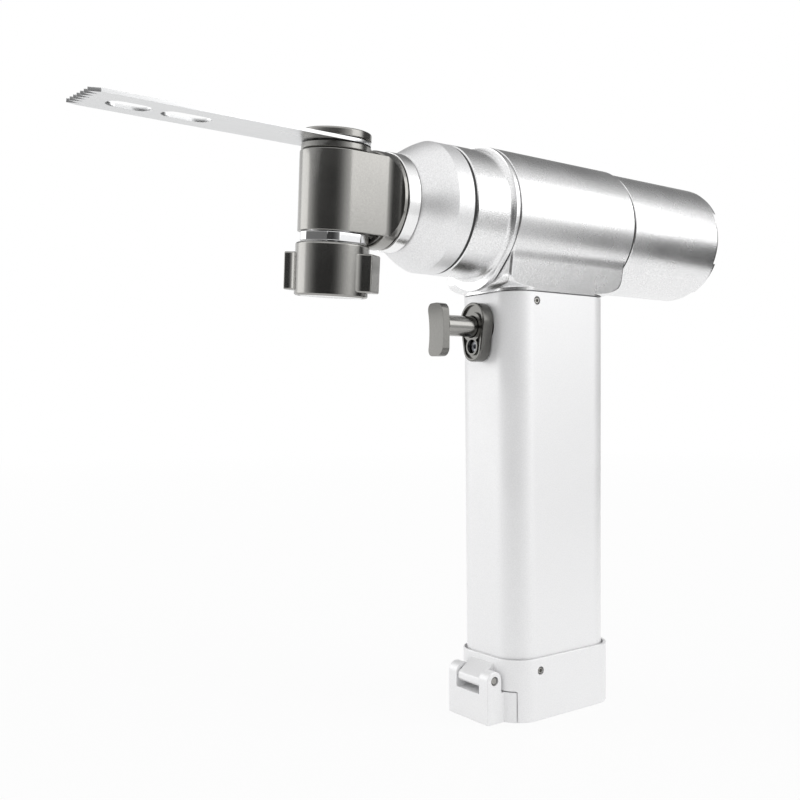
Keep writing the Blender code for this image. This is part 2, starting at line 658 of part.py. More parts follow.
def make_rear_cap():
    """Screw-in end cap: a rim that fills the sleeve's mouth and a hollow threaded skirt."""
    start = REAR_SLEEVE_END - REAR_RIM_DEPTH + FIT
    end = REAR_SLEEVE_END + CAP_STAND_OUT
    rim = REAR_SLEEVE_RADIUS - REAR_RIM_WALL - FIT
    skirt = SLEEVE_BORE - FIT
    edge = 0.5 * mm
    profile = [(end, 0.0), (end, rim - edge), (end - edge, rim),
               (start, rim), (start, skirt), (start - 3.0 * mm, skirt),
               (start - 3.0 * mm, skirt - 2.0 * mm), (start + 0.6 * mm, skirt - 2.0 * mm),
               (start + 0.6 * mm, 0.0)]
    return new_piece("rear_cap", on_barrel(turned(profile)), "turned_aluminium")


def make_nose_cone():
    """Cone between the barrel and the head, bored for the drive shaft's bearings."""
    ring_start = FRONT_SLEEVE_START - FIT
    ring = FRONT_SLEEVE_RADIUS - 0.1 * mm
    skirt = SLEEVE_BORE - FIT
    seat = DRIVE_BEARING_RADIUS + FIT
    mouth = HEAD_SPIGOT_RADIUS + FIT
    bearing_start = HEAD_SPIGOT_END + FIT
    bearing_end = bearing_start + DRIVE_BEARING_WIDTH + FIT
    profile = [(CONE_TIP, mouth), (CONE_TIP, CONE_TIP_RADIUS - 0.2 * mm),
               (CONE_TIP + 0.2 * mm, CONE_TIP_RADIUS)]
    steps = 4
    for i in range(1, steps):
        share = i / steps
        blend = share + CONE_SHOULDER * share * math.sin(math.pi * share)
        profile.append((CONE_TIP + (CONE_RING_END - CONE_TIP) * share,
                        CONE_TIP_RADIUS + (ring - CONE_TIP_RADIUS) * blend))
    carrier_end = carrier_front() - FIT
    profile += [(CONE_RING_END, ring), (ring_start - 0.2 * mm, ring),
                (ring_start, ring - 0.2 * mm), (ring_start, skirt),
                (ring_start + 5.0 * mm, skirt), (ring_start + 5.0 * mm, carrier_radius() + FIT),
                (carrier_end, carrier_radius() + FIT), (carrier_end, seat),
                (bearing_end, seat), (bearing_start - FIT, seat), (bearing_start - FIT, mouth)]
    profile = [point for i, point in enumerate(profile) if point != profile[i - 1]]
    return new_piece("nose_cone", on_barrel(turned(profile)), "blasted_aluminium")


def carrier_radius():
    return FRONT_SLEEVE_RADIUS - SLEEVE_WALL - 2.3 * mm


def carrier_front():
    return FRONT_SLEEVE_START - 2.5 * mm


def make_bearing_carrier():
    """Ring pressed into the cone's rear bore, which holds the rear drive bearing."""
    front = carrier_front()
    rear = front + DRIVE_BEARING_WIDTH + 1.5 * mm
    seat = DRIVE_BEARING_RADIUS + FIT
    profile = [(front, seat - 1.5 * mm), (front, carrier_radius()), (rear, carrier_radius()),
               (rear, seat), (front + 1.2 * mm, seat), (front + 1.2 * mm, seat - 1.5 * mm)]
    return new_piece("bearing_carrier", on_barrel(turned(profile, segments=HIDDEN_ROUND)),
                     "turned_aluminium")


def bearing_shape(start, width, outer, inner, axis="X", segments=HIDDEN_ROUND):
    """Ball bearing with the recess between its two races on its open side."""
    land = (outer - inner) * 0.28
    sink = width * 0.12
    profile = [(start, inner), (start + width, inner), (start + width, outer), (start, outer),
               (start, outer - land), (start + sink, outer - land), (start + sink, inner + land),
               (start, inner + land)]
    return turned(profile, axis, segments)


def make_drive_bearings():
    front = HEAD_SPIGOT_END + FIT
    new_piece("drive_bearing_front", on_barrel(bearing_shape(
        front, DRIVE_BEARING_WIDTH, DRIVE_BEARING_RADIUS, DRIVE_SHAFT_RADIUS + FIT)),
        "bearing_steel")
    rear = carrier_front() + 1.2 * mm + FIT
    new_piece("drive_bearing_rear", on_barrel(bearing_shape(
        rear, DRIVE_BEARING_WIDTH, DRIVE_BEARING_RADIUS, DRIVE_SHAFT_RADIUS + FIT)),
        "bearing_steel")


def make_nose_ring():
    """Bright ring on the cone's tip, and the seal in it that the head's flange turns against."""
    inner = HEAD_SPIGOT_RADIUS + FIT
    face = HEAD_FLANGE_REAR + FIT
    seat = NOSE_RING_START
    seat_radius = NOSE_RING_RADIUS - NOSE_RING_WALL
    end = CONE_TIP - FIT
    edge = 0.3 * mm
    profile = [(seat, inner), (seat, seat_radius), (face, seat_radius),
               (face, NOSE_RING_RADIUS - edge), (face + edge, NOSE_RING_RADIUS),
               (end - edge, NOSE_RING_RADIUS), (end, NOSE_RING_RADIUS - edge), (end, inner)]
    new_piece("nose_ring", on_barrel(turned(profile)), "turned_aluminium")
    new_piece("nose_seal", on_barrel(tube(face, seat - FIT, seat_radius - FIT, inner)),
              "black_rubber")


# Motor

def make_motor():
    """Motor can, end bell, stator ring and the two bearings of the motor shaft."""
    shaft_hole = MOTOR_SHAFT_RADIUS + 0.7 * mm
    seat = MOTOR_BEARING_RADIUS + FIT
    boss = seat + 2.0 * mm
    front_wall = 2.0 * mm
    bearing_room = MOTOR_BEARING_WIDTH + FIT
    inner = STATOR_RADIUS + FIT
    profile = [(MOTOR_START, shaft_hole), (MOTOR_START, CAN_RADIUS - 1.0 * mm),
               (MOTOR_START + 1.0 * mm, CAN_RADIUS), (MOTOR_END, CAN_RADIUS), (MOTOR_END, inner),
               (MOTOR_START + front_wall, inner), (MOTOR_START + front_wall, boss),
               (MOTOR_START + front_wall + bearing_room, boss),
               (MOTOR_START + front_wall + bearing_room, seat),
               (MOTOR_START + front_wall, seat), (MOTOR_START + front_wall, shaft_hole)]
    new_piece("motor_can", on_barrel(turned(profile, segments=HIDDEN_ROUND)), "motor_steel")
    bearing = MOTOR_START + front_wall + FIT
    new_piece("motor_bearing_front", on_barrel(bearing_shape(
        bearing, MOTOR_BEARING_WIDTH, MOTOR_BEARING_RADIUS, MOTOR_SHAFT_RADIUS + FIT)),
        "bearing_steel")
    bell_start = MOTOR_END + FIT
    bell_end = bell_start + 4.0 * mm
    seat_start = bell_start - bearing_room
    profile = [(seat_start, seat), (seat_start, boss), (bell_start, boss),
               (bell_start, CAN_RADIUS), (bell_end - mm, CAN_RADIUS),
               (bell_end, CAN_RADIUS - mm), (bell_end, shaft_hole), (bell_start, shaft_hole),
               (bell_start, seat)]
    new_piece("motor_end_bell", on_barrel(turned(profile, segments=HIDDEN_ROUND)),
              "grey_plastic")
    new_piece("motor_bearing_rear", on_barrel(bearing_shape(
        seat_start, MOTOR_BEARING_WIDTH, MOTOR_BEARING_RADIUS, MOTOR_SHAFT_RADIUS + FIT)),
        "bearing_steel")
    stator_start = MOTOR_START + front_wall + bearing_room + 3.0 * mm
    stator_end = seat_start - 3.0 * mm
    new_piece("motor_stator", on_barrel(tube(stator_start, stator_end, STATOR_RADIUS,
                                             STATOR_RADIUS - STATOR_WALL,
                                             segments=HIDDEN_ROUND)), "copper")
    return stator_start, stator_end, bell_end


def make_rotor(parent, stator_start, stator_end, bell_end):
    """Rotor core on its shaft, slotted along its length."""
    core_start = stator_start + 1.5 * mm
    core_end = stator_end - 1.5 * mm
    edge = 0.6 * mm
    profile = [(SHAFT_JOINT + FIT / 2, 0.0), (SHAFT_JOINT + FIT / 2, MOTOR_SHAFT_RADIUS),
               (core_start, MOTOR_SHAFT_RADIUS), (core_start, ROTOR_RADIUS - edge),
               (core_start + edge, ROTOR_RADIUS), (core_end - edge, ROTOR_RADIUS),
               (core_end, ROTOR_RADIUS - edge), (core_end, MOTOR_SHAFT_RADIUS),
               (bell_end, MOTOR_SHAFT_RADIUS), (bell_end, 0.0)]
    rotor = mesh_object("motor_rotor", turned(profile, segments=HIDDEN_ROUND), parent)
    poles = 4
    for i in range(poles):
        angle = 2 * math.pi * (i + 0.5) / poles
        groove = box((core_start - mm, -0.9 * mm, ROTOR_RADIUS - 1.6 * mm),
                     (core_end + mm, 0.9 * mm, ROTOR_RADIUS + mm))
        bmesh.ops.transform(groove, matrix=Matrix.Rotation(angle, 4, "X"), verts=groove.verts)
        carve(rotor, groove)
    return dress(rotor, "motor_steel")


def make_drive_line(parent):
    """Coupling, drive shaft with its offset pin, and the small bearing that runs in the fork."""
    end = COUPLING_START + COUPLING_LENGTH
    mid = (COUPLING_START + end) / 2
    profile = [(COUPLING_START, DRIVE_SHAFT_RADIUS + FIT), (COUPLING_START, COUPLING_RADIUS - mm),
               (COUPLING_START + mm, COUPLING_RADIUS), (mid - mm, COUPLING_RADIUS),
               (mid - mm, COUPLING_RADIUS - mm), (mid + mm, COUPLING_RADIUS - mm),
               (mid + mm, COUPLING_RADIUS), (end - mm, COUPLING_RADIUS),
               (end, COUPLING_RADIUS - mm), (end, MOTOR_SHAFT_RADIUS + FIT),
               (SHAFT_JOINT, MOTOR_SHAFT_RADIUS + FIT), (SHAFT_JOINT, DRIVE_SHAFT_RADIUS + FIT)]
    new_piece("shaft_coupling", turned(profile, segments=HIDDEN_ROUND), "turned_aluminium", parent)
    collar_start = HEAD_SPIGOT_END + 2 * FIT + DRIVE_BEARING_WIDTH
    collar_end = carrier_front() + 1.2 * mm
    bearing_front = ECCENTRIC_X - ECCENTRIC_BEARING_WIDTH / 2
    bearing_rear = ECCENTRIC_X + ECCENTRIC_BEARING_WIDTH / 2
    weight_front = bearing_rear + 1.2 * mm
    weight_rear = weight_front + 2.2 * mm
    profile = [(weight_front, 0.0), (weight_front, COUNTERWEIGHT_RADIUS),
               (weight_rear, COUNTERWEIGHT_RADIUS),
               (weight_rear, DRIVE_SHAFT_RADIUS), (collar_start, DRIVE_SHAFT_RADIUS),
               (collar_start, DRIVE_SHAFT_RADIUS + 1.6 * mm),
               (collar_end, DRIVE_SHAFT_RADIUS + 1.6 * mm), (collar_end, DRIVE_SHAFT_RADIUS),
               (SHAFT_JOINT - FIT / 2, DRIVE_SHAFT_RADIUS), (SHAFT_JOINT - FIT / 2, 0.0)]
    shaft = mesh_object("drive_shaft", turned(profile, segments=SMALL_ROUND), parent)
    offset = (0.0, 0.0, ECCENTRICITY)
    pin = turned([(bearing_front - 0.4 * mm, 0.0), (bearing_front - 0.4 * mm,
                                                    ECCENTRIC_PIN_RADIUS),
                  (bearing_rear + FIT, ECCENTRIC_PIN_RADIUS),
                  (bearing_rear + FIT, ECCENTRIC_PIN_RADIUS + 0.7 * mm),
                  (weight_front + mm, ECCENTRIC_PIN_RADIUS + 0.7 * mm),
                  (weight_front + mm, 0.0)], "X", SMALL_ROUND, offset)
    join(shaft, pin)
    dress(shaft, "polished_steel")
    ring = bearing_shape(bearing_front, ECCENTRIC_BEARING_WIDTH, ECCENTRIC_BEARING_RADIUS,
                         ECCENTRIC_PIN_RADIUS + FIT)
    bmesh.ops.translate(ring, verts=ring.verts, vec=offset)
    new_piece("eccentric_bearing", ring, "bearing_steel", parent)


# Saw head

def head_plan():
    """Plan of the head: half-round front, flat sides, and concave flares out to the flange."""
    rim_front = HEAD_FLANGE_REAR - HEAD_FLANGE_RIM
    flare_y = HEAD_RADIUS + HEAD_FLARE
    far = arc((rim_front - HEAD_FLARE, flare_y), HEAD_FLARE, 0, -90, 4)
    front = arc((HEAD_AXIS_X, 0.0), HEAD_RADIUS, 90, 270, 16)
    near = [(x, -y) for x, y in reversed(far)]
    return ([(HEAD_FLANGE_REAR, -flare_y), (HEAD_FLANGE_REAR, flare_y)] + far + front + near)


def make_head_housing(parent):
    """Head block: a vertical bearing tube that flows into the round flange behind it."""
    plan = head_plan()
    head = mesh_object("head_housing", prism(plan, -HEAD_FLANGE_RADIUS - mm,
                                             HEAD_FLANGE_RADIUS + mm), parent)
    edge = 0.4 * mm
    rim_front = HEAD_FLANGE_REAR - HEAD_FLANGE_RIM
    block_front = HEAD_AXIS_X - HEAD_RADIUS - mm
    reach = HEAD_FLANGE_RADIUS + 2 * mm
    side = [(HEAD_BOTTOM, -reach), (HEAD_TOP, -reach), (HEAD_TOP, reach), (HEAD_BOTTOM, reach)]
    envelope = mesh_object("head_envelope", prism([(y, z) for z, y in side], block_front,
                                                  rim_front + 0.6 * mm, "YZ"))
    corner = math.hypot(HEAD_RADIUS, HEAD_TOP)
    trim(envelope, turned([(block_front - mm, 0.0), (block_front - mm, corner + 4 * mm),
                           (rim_front - HEAD_SHOULDER, corner + 4 * mm),
                           (rim_front - HEAD_SHOULDER, corner),
                           (rim_front + 0.3 * mm, HEAD_FLANGE_RADIUS - 0.1 * mm),
                           (rim_front + 0.3 * mm, 0.0)]))
    neck = [(HEAD_NECK_FRONT, 0.0)]
    neck += arc((HEAD_NECK_FRONT + HEAD_NECK_ROUND, HEAD_FLANGE_RADIUS - HEAD_NECK_ROUND),
                HEAD_NECK_ROUND, 180, 90, 4)
    neck += [(HEAD_FLANGE_REAR - edge, HEAD_FLANGE_RADIUS),
             (HEAD_FLANGE_REAR, HEAD_FLANGE_RADIUS - edge), (HEAD_FLANGE_REAR, 0.0)]
    join(envelope, turned(neck))
    trim(head, taken_shape(envelope))
    join(head, rod(HEAD_FLANGE_REAR - mm, HEAD_SPIGOT_END, HEAD_SPIGOT_RADIUS, segments=ROUND))
    axis_at = (HEAD_AXIS_X, 0.0, 0.0)
    shaft_bore = rod(HEAD_AXIS_X, HEAD_SPIGOT_END + mm, HEAD_BORE, segments=HIDDEN_ROUND)
    tall_bore = turned([(HEAD_BOTTOM - mm, 0.0), (HEAD_BOTTOM - mm, HEAD_BORE),
                        (HEAD_TOP - HEAD_LIP, HEAD_BORE), (HEAD_TOP - HEAD_LIP, HEAD_LIP_BORE),
                        (HEAD_TOP + mm, HEAD_LIP_BORE), (HEAD_TOP + mm, 0.0)], "Z", HIDDEN_ROUND,
                       axis_at)
    carve(head, shaft_bore, tall_bore)
    return dress(head, "gunmetal")


def make_head_bearings(parent):
    """Two bearings of the blade spindle and the six-sided nut that holds them in."""
    outer = HEAD_BORE - FIT
    inner = SPINDLE_RADIUS + FIT
    upper = HEAD_TOP - HEAD_LIP - FIT - HEAD_BEARING_WIDTH
    lower = -upper - HEAD_BEARING_WIDTH
    for start, name in ((upper, "spindle_bearing_upper"), (lower, "spindle_bearing_lower")):
        ring = bearing_shape(start, HEAD_BEARING_WIDTH, outer, inner, "Z")
        bmesh.ops.translate(ring, verts=ring.verts, vec=(HEAD_AXIS_X, 0.0, 0.0))
        new_piece(name, ring, "bearing_steel", parent)
    outline = []
    flat = HEX_ACROSS_FLATS / 2
    corner = HEX_ACROSS_CORNERS / 2
    half = math.acos(flat / corner)
    for i in range(6):
        middle = math.radians(60 * i + 30)
        for turn in (-half, half):
            outline.append((HEAD_AXIS_X + corner * math.cos(middle + turn),
                            corner * math.sin(middle + turn)))
        land = middle + math.radians(30)
        outline.append((HEAD_AXIS_X + corner * math.cos(land), corner * math.sin(land)))
    nut = mesh_object("bearing_nut", prism(outline, HEX_TOP - HEX_HEIGHT, HEX_TOP), parent)
    thread = rod(HEX_TOP - mm, lower - FIT, outer, "Z", HIDDEN_ROUND, (HEAD_AXIS_X, 0.0, 0.0))
    hole = rod(HEX_TOP - HEX_HEIGHT - mm, HEAD_TOP, inner, "Z", SMALL_ROUND,
               (HEAD_AXIS_X, 0.0, 0.0))
    join(nut, thread)
    carve(nut, hole)
    return dress(nut, "polished_steel")


# Blade spindle. These shapes are built about the head's upright axis

def make_output_spindle(parent):
    """Spindle with the lower clamp disc, index pins, and the pocket for the clamp spring."""
    edge = 0.3 * mm
    bore = BOLT_RADIUS + FIT
    pocket = SPINDLE_RADIUS - 0.8 * mm
    profile = [(DISC_TOP, bore), (DISC_TOP, DISC_RADIUS - edge), (DISC_TOP - edge, DISC_RADIUS),
               (DISC_BOTTOM + edge, DISC_RADIUS), (DISC_BOTTOM, DISC_RADIUS - edge),
               (DISC_BOTTOM, SPINDLE_RADIUS), (SPINDLE_BOTTOM, SPINDLE_RADIUS),
               (SPINDLE_BOTTOM, pocket), (SPRING_POCKET_TOP, pocket), (SPRING_POCKET_TOP, bore)]
    spindle = mesh_object("output_spindle", turned(profile, "Z"), parent)
    for i in range(INDEX_PINS):
        angle = 2 * math.pi * (i + 0.5) / INDEX_PINS
        place = (INDEX_PIN_CIRCLE * math.cos(angle), INDEX_PIN_CIRCLE * math.sin(angle), 0.0)
        join(spindle, turned([(DISC_TOP - mm, 0.0), (DISC_TOP - mm, INDEX_PIN_RADIUS),
                              (BLADE_TOP - 0.3 * mm, INDEX_PIN_RADIUS),
                              (BLADE_TOP, INDEX_PIN_RADIUS - 0.3 * mm), (BLADE_TOP, 0.0)],
                             "Z", TINY_ROUND, place))
    return dress(spindle, "gunmetal")


def make_drive_fork(parent):
    """Fork clamped on the spindle, whose two arms reach each side of the eccentric bearing.

    The arms stand off by the eccentric's throw, so that the shaft clears them all the way round.
    """
    half = FORK_HEIGHT / 2
    gap = ECCENTRIC_BEARING_RADIUS + ECCENTRICITY + FIT
    tip = FORK_REACH + ECCENTRIC_BEARING_WIDTH / 2
    hub = mesh_object("drive_fork", rod(-half, half, FORK_HUB_RADIUS, "Z", HIDDEN_ROUND), parent)
    arm = gap + FORK_ARM
    outline = [(0.0, -arm), (tip - mm, -arm), (tip, -arm + mm), (tip, arm - mm), (tip - mm, arm),
               (0.0, arm)]
    join(hub, prism(outline, -half, half))
    throat = FORK_REACH - ECCENTRIC_BEARING_WIDTH / 2 - 1.2 * mm
    slot = [(tip + mm, -gap), (tip + mm, gap)]
    slot += arc((throat + gap * 0.4, 0.0), gap, 90, 270, 8)
    carve(hub, prism(slot, -half - mm, half + mm))
    carve(hub, rod(-half - mm, half + mm, SPINDLE_RADIUS + FIT, "Z", SMALL_ROUND))
    return dress(hub, "bearing_steel")


def slot_outline(middle, length, width, corner):
    return rounded_rectangle(length / 2, width / 2, corner, 4, middle)


def make_saw_blade(parent):
    """Flat blade with a round hub, two windows and a row of hooked teeth on its end."""
    half = BLADE_WIDTH / 2
    pitch = BLADE_WIDTH / TOOTH_COUNT
    root = -BLADE_REACH + TOOTH_HEIGHT
    outline = []
    for i in range(TOOTH_COUNT):
        low = half - i * pitch
        outline.append((root, low))
        outline.append((-BLADE_REACH, low - pitch * TOOTH_HOOK))
        outline.append((root, low - pitch * 0.92))
    outline.append((root, -half))
    outline += arc((0.0, 0.0), half, -90, 90, 16)
    blade = mesh_object("saw_blade", prism(outline, BLADE_BOTTOM, BLADE_TOP), parent)
    low = BLADE_BOTTOM - mm
    high = BLADE_TOP + mm
    front = -BLADE_REACH + SLOT_BEHIND_TIPS
    for length in SLOT_LENGTHS:
        middle = front + length / 2
        carve(blade, prism(slot_outline(middle, length, SLOT_WIDTH, SLOT_ROUND), low, high))
        front += length + SLOT_WEB
    carve(blade, rod(low, high, BOLT_RADIUS + FIT, "Z", SMALL_ROUND))
    for i in range(INDEX_PINS):
        angle = 2 * math.pi * (i + 0.5) / INDEX_PINS
        place = (INDEX_PIN_CIRCLE * math.cos(angle), INDEX_PIN_CIRCLE * math.sin(angle), 0.0)
        carve(blade, rod(low, high, INDEX_PIN_RADIUS + FIT, "Z", TINY_ROUND, place))
    return dress(blade, "blade_steel")


def make_clamp(parent):
    """Upper clamp disc and the draw bolt that the knob pulls down, with the clamp spring."""
    bore = BOLT_RADIUS + FIT
    sink = BOLT_HEAD_HEIGHT + FIT
    profile = [(CAP_BOTTOM, bore), (CAP_BOTTOM, DISC_RADIUS - 0.2 * mm),
               (CAP_BOTTOM + 0.2 * mm, DISC_RADIUS), (CAP_TOP - CAP_EDGE, DISC_RADIUS),
               (CAP_TOP, DISC_RADIUS - CAP_EDGE), (CAP_TOP, BOLT_HEAD_RADIUS + FIT),
               (CAP_TOP - sink, BOLT_HEAD_RADIUS + FIT), (CAP_TOP - sink, bore)]
    new_piece("clamp_cap", turned(profile, "Z"), "gunmetal", parent)
    shoulder = SPINDLE_BOTTOM + SPRING_WIRE / 2
    foot = KNOB_BOTTOM + END_PLATE_HEIGHT + 2.2 * mm
    rest = CAP_TOP - BOLT_HEAD_HEIGHT
    pocket = SPINDLE_RADIUS - 0.8 * mm - FIT
    profile = [(CAP_TOP, 0.0), (CAP_TOP, BOLT_HEAD_RADIUS - 0.2 * mm),
               (CAP_TOP - 0.2 * mm, BOLT_HEAD_RADIUS), (rest, BOLT_HEAD_RADIUS),
               (rest, BOLT_RADIUS), (shoulder + 0.9 * mm, BOLT_RADIUS),
               (shoulder + 0.9 * mm, pocket), (shoulder, pocket), (shoulder, BOLT_RADIUS),
               (foot, BOLT_RADIUS), (foot, 0.0)]
    bolt = mesh_object("draw_bolt", turned(profile, "Z", SMALL_ROUND), parent)
    socket = [(1.5 * mm * math.cos(math.radians(60 * i)), 1.5 * mm * math.sin(math.radians(60 * i)))
              for i in range(6)]
    carve(bolt, prism(socket, CAP_TOP - 0.9 * mm, CAP_TOP + mm))
    dress(bolt, "polished_steel")
    make_clamp_spring(parent, shoulder + 0.9 * mm + SPRING_WIRE / 2 + FIT,
                      SPRING_POCKET_TOP - SPRING_WIRE / 2 - FIT - CLAMP_LIFT)


def make_clamp_spring(parent, low, high):
    """Helical spring round the draw bolt, at the length it has when the clamp is lifted."""
    coil_radius = (SPINDLE_RADIUS - 0.8 * mm + BOLT_RADIUS) / 2
    steps = int(SPRING_TURNS * 8)
    curve = bpy.data.curves.new("clamp_spring", "CURVE")
    curve.dimensions = "3D"
    curve.bevel_depth = min(SPRING_WIRE / 2, (SPINDLE_RADIUS - 0.8 * mm - BOLT_RADIUS) / 2 - 0.2 * mm)
    curve.bevel_resolution = 0
    curve.use_fill_caps = True
    spline = curve.splines.new("POLY")
    spline.points.add(steps)
    for i in range(steps + 1):
        turn = 2 * math.pi * SPRING_TURNS * i / steps
        spline.points[i].co = (coil_radius * math.cos(turn), coil_radius * math.sin(turn),
                               low + (high - low) * i / steps, 1.0)
    spring = bpy.data.objects.new("clamp_spring", curve)
    bpy.context.collection.objects.link(spring)
    spring.parent = parent
    curve.materials.append(finish_material("spring_steel", *FINISHES["spring_steel"]))
    return spring


def knob_plan():
    """Plan of the knob between its rims: a circle with two square wings and round roots."""
    half = WING_THICKNESS / 2
    root_y = half + WING_FILLET
    root_x = math.sqrt((KNOB_RADIUS + WING_FILLET) ** 2 - root_y ** 2)
    lean = math.degrees(math.atan2(root_y, root_x))
    side = arc((root_x, root_y), WING_FILLET, 180 + lean, 270, 4)
    corner = 0.5 * mm
    tip = [(WING_REACH - corner, half), (WING_REACH, half - corner)]
    upper = side + tip
    half_plan = [(x, -y) for x, y in upper] + upper[::-1]
    body = arc((0.0, 0.0), KNOB_RADIUS, lean, 180 - lean, 10)[1:-1]
    plan = half_plan + body
    plan += [(-x, -y) for x, y in half_plan] + [(-x, -y) for x, y in body]
    turn = math.radians(WING_ANGLE)
    return [(x * math.cos(turn) - y * math.sin(turn), x * math.sin(turn) + y * math.cos(turn))
            for x, y in plan]


def make_knob(parent):
    """Winged clamping knob with its bright end plate."""
    bore = BOLT_RADIUS + FIT
    plate = END_PLATE_RADIUS + FIT
    pocket_top = KNOB_BOTTOM + END_PLATE_HEIGHT + FIT
    profile = [(KNOB_TOP, bore), (KNOB_TOP, KNOB_RADIUS - KNOB_EDGE),
               (KNOB_TOP - KNOB_EDGE, KNOB_RADIUS), (KNOB_BOTTOM + KNOB_EDGE, KNOB_RADIUS),
               (KNOB_BOTTOM, KNOB_RADIUS - KNOB_EDGE), (KNOB_BOTTOM, plate),
               (pocket_top, plate), (pocket_top, bore)]
    knob = mesh_object("wing_knob", turned(profile, "Z"), parent)
    wings = mesh_object("wing_tool", prism(knob_plan(), WING_BOTTOM, WING_TOP))
    carve(wings, rod(WING_BOTTOM - mm, WING_TOP + mm, KNOB_RADIUS - 2 * mm, "Z", ROUND))
    join(knob, taken_shape(wings))
    dress(knob, "gunmetal")
    dome = 0.25 * mm
    profile = [(pocket_top - FIT, 0.0), (pocket_top - FIT, END_PLATE_RADIUS),
               (KNOB_BOTTOM + 0.2 * mm, END_PLATE_RADIUS),
               (KNOB_BOTTOM, END_PLATE_RADIUS - 0.4 * mm),
               (KNOB_BOTTOM - dome, END_PLATE_RADIUS * 0.5), (KNOB_BOTTOM - dome, 0.0)]
    new_piece("knob_end_plate", turned(profile, "Z"), "turned_aluminium", parent)


# Trigger

def guide_neck_radius():
    return STEM_RADIUS + FIT + 1.8 * mm


def guide_outline(inset=0.0):
    """Egg outline of the trigger guide: a wide circle above a narrower one."""
    upper = GUIDE_WIDTH / 2 - inset
    lower = GUIDE_LOW_RADIUS - inset
    upper_z = GUIDE_TOP - GUIDE_WIDTH / 2
    lower_z = GUIDE_BOTTOM + GUIDE_LOW_RADIUS
    slope = math.degrees(math.asin((upper - lower) / (upper_z - lower_z)))
    points = arc((0.0, upper_z), upper, -slope, 180 + slope, 16)
    points += arc((0.0, lower_z), lower, 180 + slope, 360 - slope, 8)
    return points


def make_trigger_guide():
    """Bush that the trigger stem slides in, with a sunk ring round the stem and a screw."""
    back = -HANDLE_HALF_X - FIT
    edge = 0.5 * mm
    rings = [place_outline(guide_outline(edge), GUIDE_FRONT, "YZ"),
             place_outline(guide_outline(), GUIDE_FRONT + edge, "YZ"),
             place_outline(guide_outline(), back, "YZ")]
    guide = mesh_object("trigger_guide", loft(rings))
    axis_at = (0.0, 0.0, TRIGGER_AXIS_Z)
    screw_at = (0.0, 0.0, GUIDE_SCREW_Z)
    groove = mesh_object("guide_groove", prism(guide_outline(GUIDE_LIP), GUIDE_FRONT - mm,
                                               GUIDE_FRONT + GUIDE_SINK, "YZ"))
    low = GUIDE_FRONT - 2 * mm
    high = GUIDE_FRONT + 2 * mm
    carve(groove, rod(low, high, STEM_RADIUS + FIT + GUIDE_BOSS, "X", SMALL_ROUND, axis_at),
          rod(low, high, GUIDE_SCREW_RADIUS + FIT + GUIDE_BOSS * 0.5, "X", SMALL_ROUND,
              screw_at))
    carve(guide, taken_shape(groove))
    inner_end = -INNER_HALF_X + 3.0 * mm
    join(guide, rod(back - mm, inner_end, guide_neck_radius(), "X", SMALL_ROUND, axis_at))
    carve(guide, rod(GUIDE_FRONT - mm, inner_end + mm, STEM_RADIUS + FIT, "X", SMALL_ROUND,
                     axis_at))
    head_depth = GUIDE_FRONT + 2.6 * mm
    carve(guide, rod(GUIDE_FRONT - mm, head_depth, GUIDE_SCREW_RADIUS + FIT, "X", TINY_ROUND,
                     screw_at),
          rod(GUIDE_FRONT - mm, back + mm, GUIDE_SCREW_RADIUS * 0.5 + FIT, "X", TINY_ROUND,
              screw_at))
    dress(guide, "gunmetal")
    start = head_depth - FIT - 1.0 * mm
    shank_end = -INNER_HALF_X + 0.4 * mm
    profile = [(start, 0.0), (start, GUIDE_SCREW_RADIUS), (head_depth - FIT, GUIDE_SCREW_RADIUS),
               (head_depth - FIT, GUIDE_SCREW_RADIUS * 0.5), (shank_end,
                                                              GUIDE_SCREW_RADIUS * 0.5),
               (shank_end, 0.0)]
    new_piece("guide_screw", turned(profile, "X", TINY_ROUND, screw_at), "spring_steel")
    return inner_end


def make_trigger(parent, guide_end):
    """Finger pad on its stem, with the clip that keeps the stem in its guide."""
    low = PAD_BOTTOM - TRIGGER_AXIS_Z
    high = PAD_TOP - TRIGGER_AXIS_Z
    half = PAD_WIDTH / 2
    back = PAD_FRONT + PAD_THICKNESS
    rings = []
    steps = 12
    for i in range(steps + 1):
        share = i / steps
        z = low + (high - low) * share
        taper = math.sqrt(max(0.0, 1 - abs(2 * share - 1) ** 7))
        width = half * (0.66 + 0.34 * taper)
        bow = 1 - (2 * share - 1) ** 2
        front = PAD_FRONT + PAD_HOLLOW * bow
        rear = back - 0.35 * (back - PAD_FRONT) * (1 - taper) + 0.25 * mm * bow
        round_off = 0.7 * mm
        rings.append(place_outline([
            (front, width - round_off), (front + round_off, width),
            (rear - round_off, width), (rear, width - round_off),
            (rear, -width + round_off), (rear - round_off, -width),
            (front + round_off, -width), (front, -width + round_off)], z, "XY"))
    pad = mesh_object("trigger_pad", loft(rings), parent)
    stem_front = back - 0.9 * mm
    carve(pad, rod(stem_front, back + mm, STEM_RADIUS * 0.7 + FIT, "X", SMALL_ROUND))
    dress(pad, "gunmetal", 50.0)
    shoulder = back + 0.25 * mm + FIT
    profile = [(stem_front + FIT, 0.0), (stem_front + FIT, STEM_RADIUS * 0.7),
               (shoulder, STEM_RADIUS * 0.7), (shoulder, STEM_RADIUS),
               (STEM_END, STEM_RADIUS), (STEM_END, 0.0)]
    new_piece("trigger_stem", turned(profile, "X", SMALL_ROUND), "gunmetal", parent)
    clip = guide_end + 0.5 * mm
    new_piece("stem_clip", tube(clip, clip + 1.0 * mm, guide_neck_radius() - 0.3 * mm,
                                STEM_RADIUS + FIT, "X", SMALL_ROUND), "spring_steel", parent)


# Battery and control

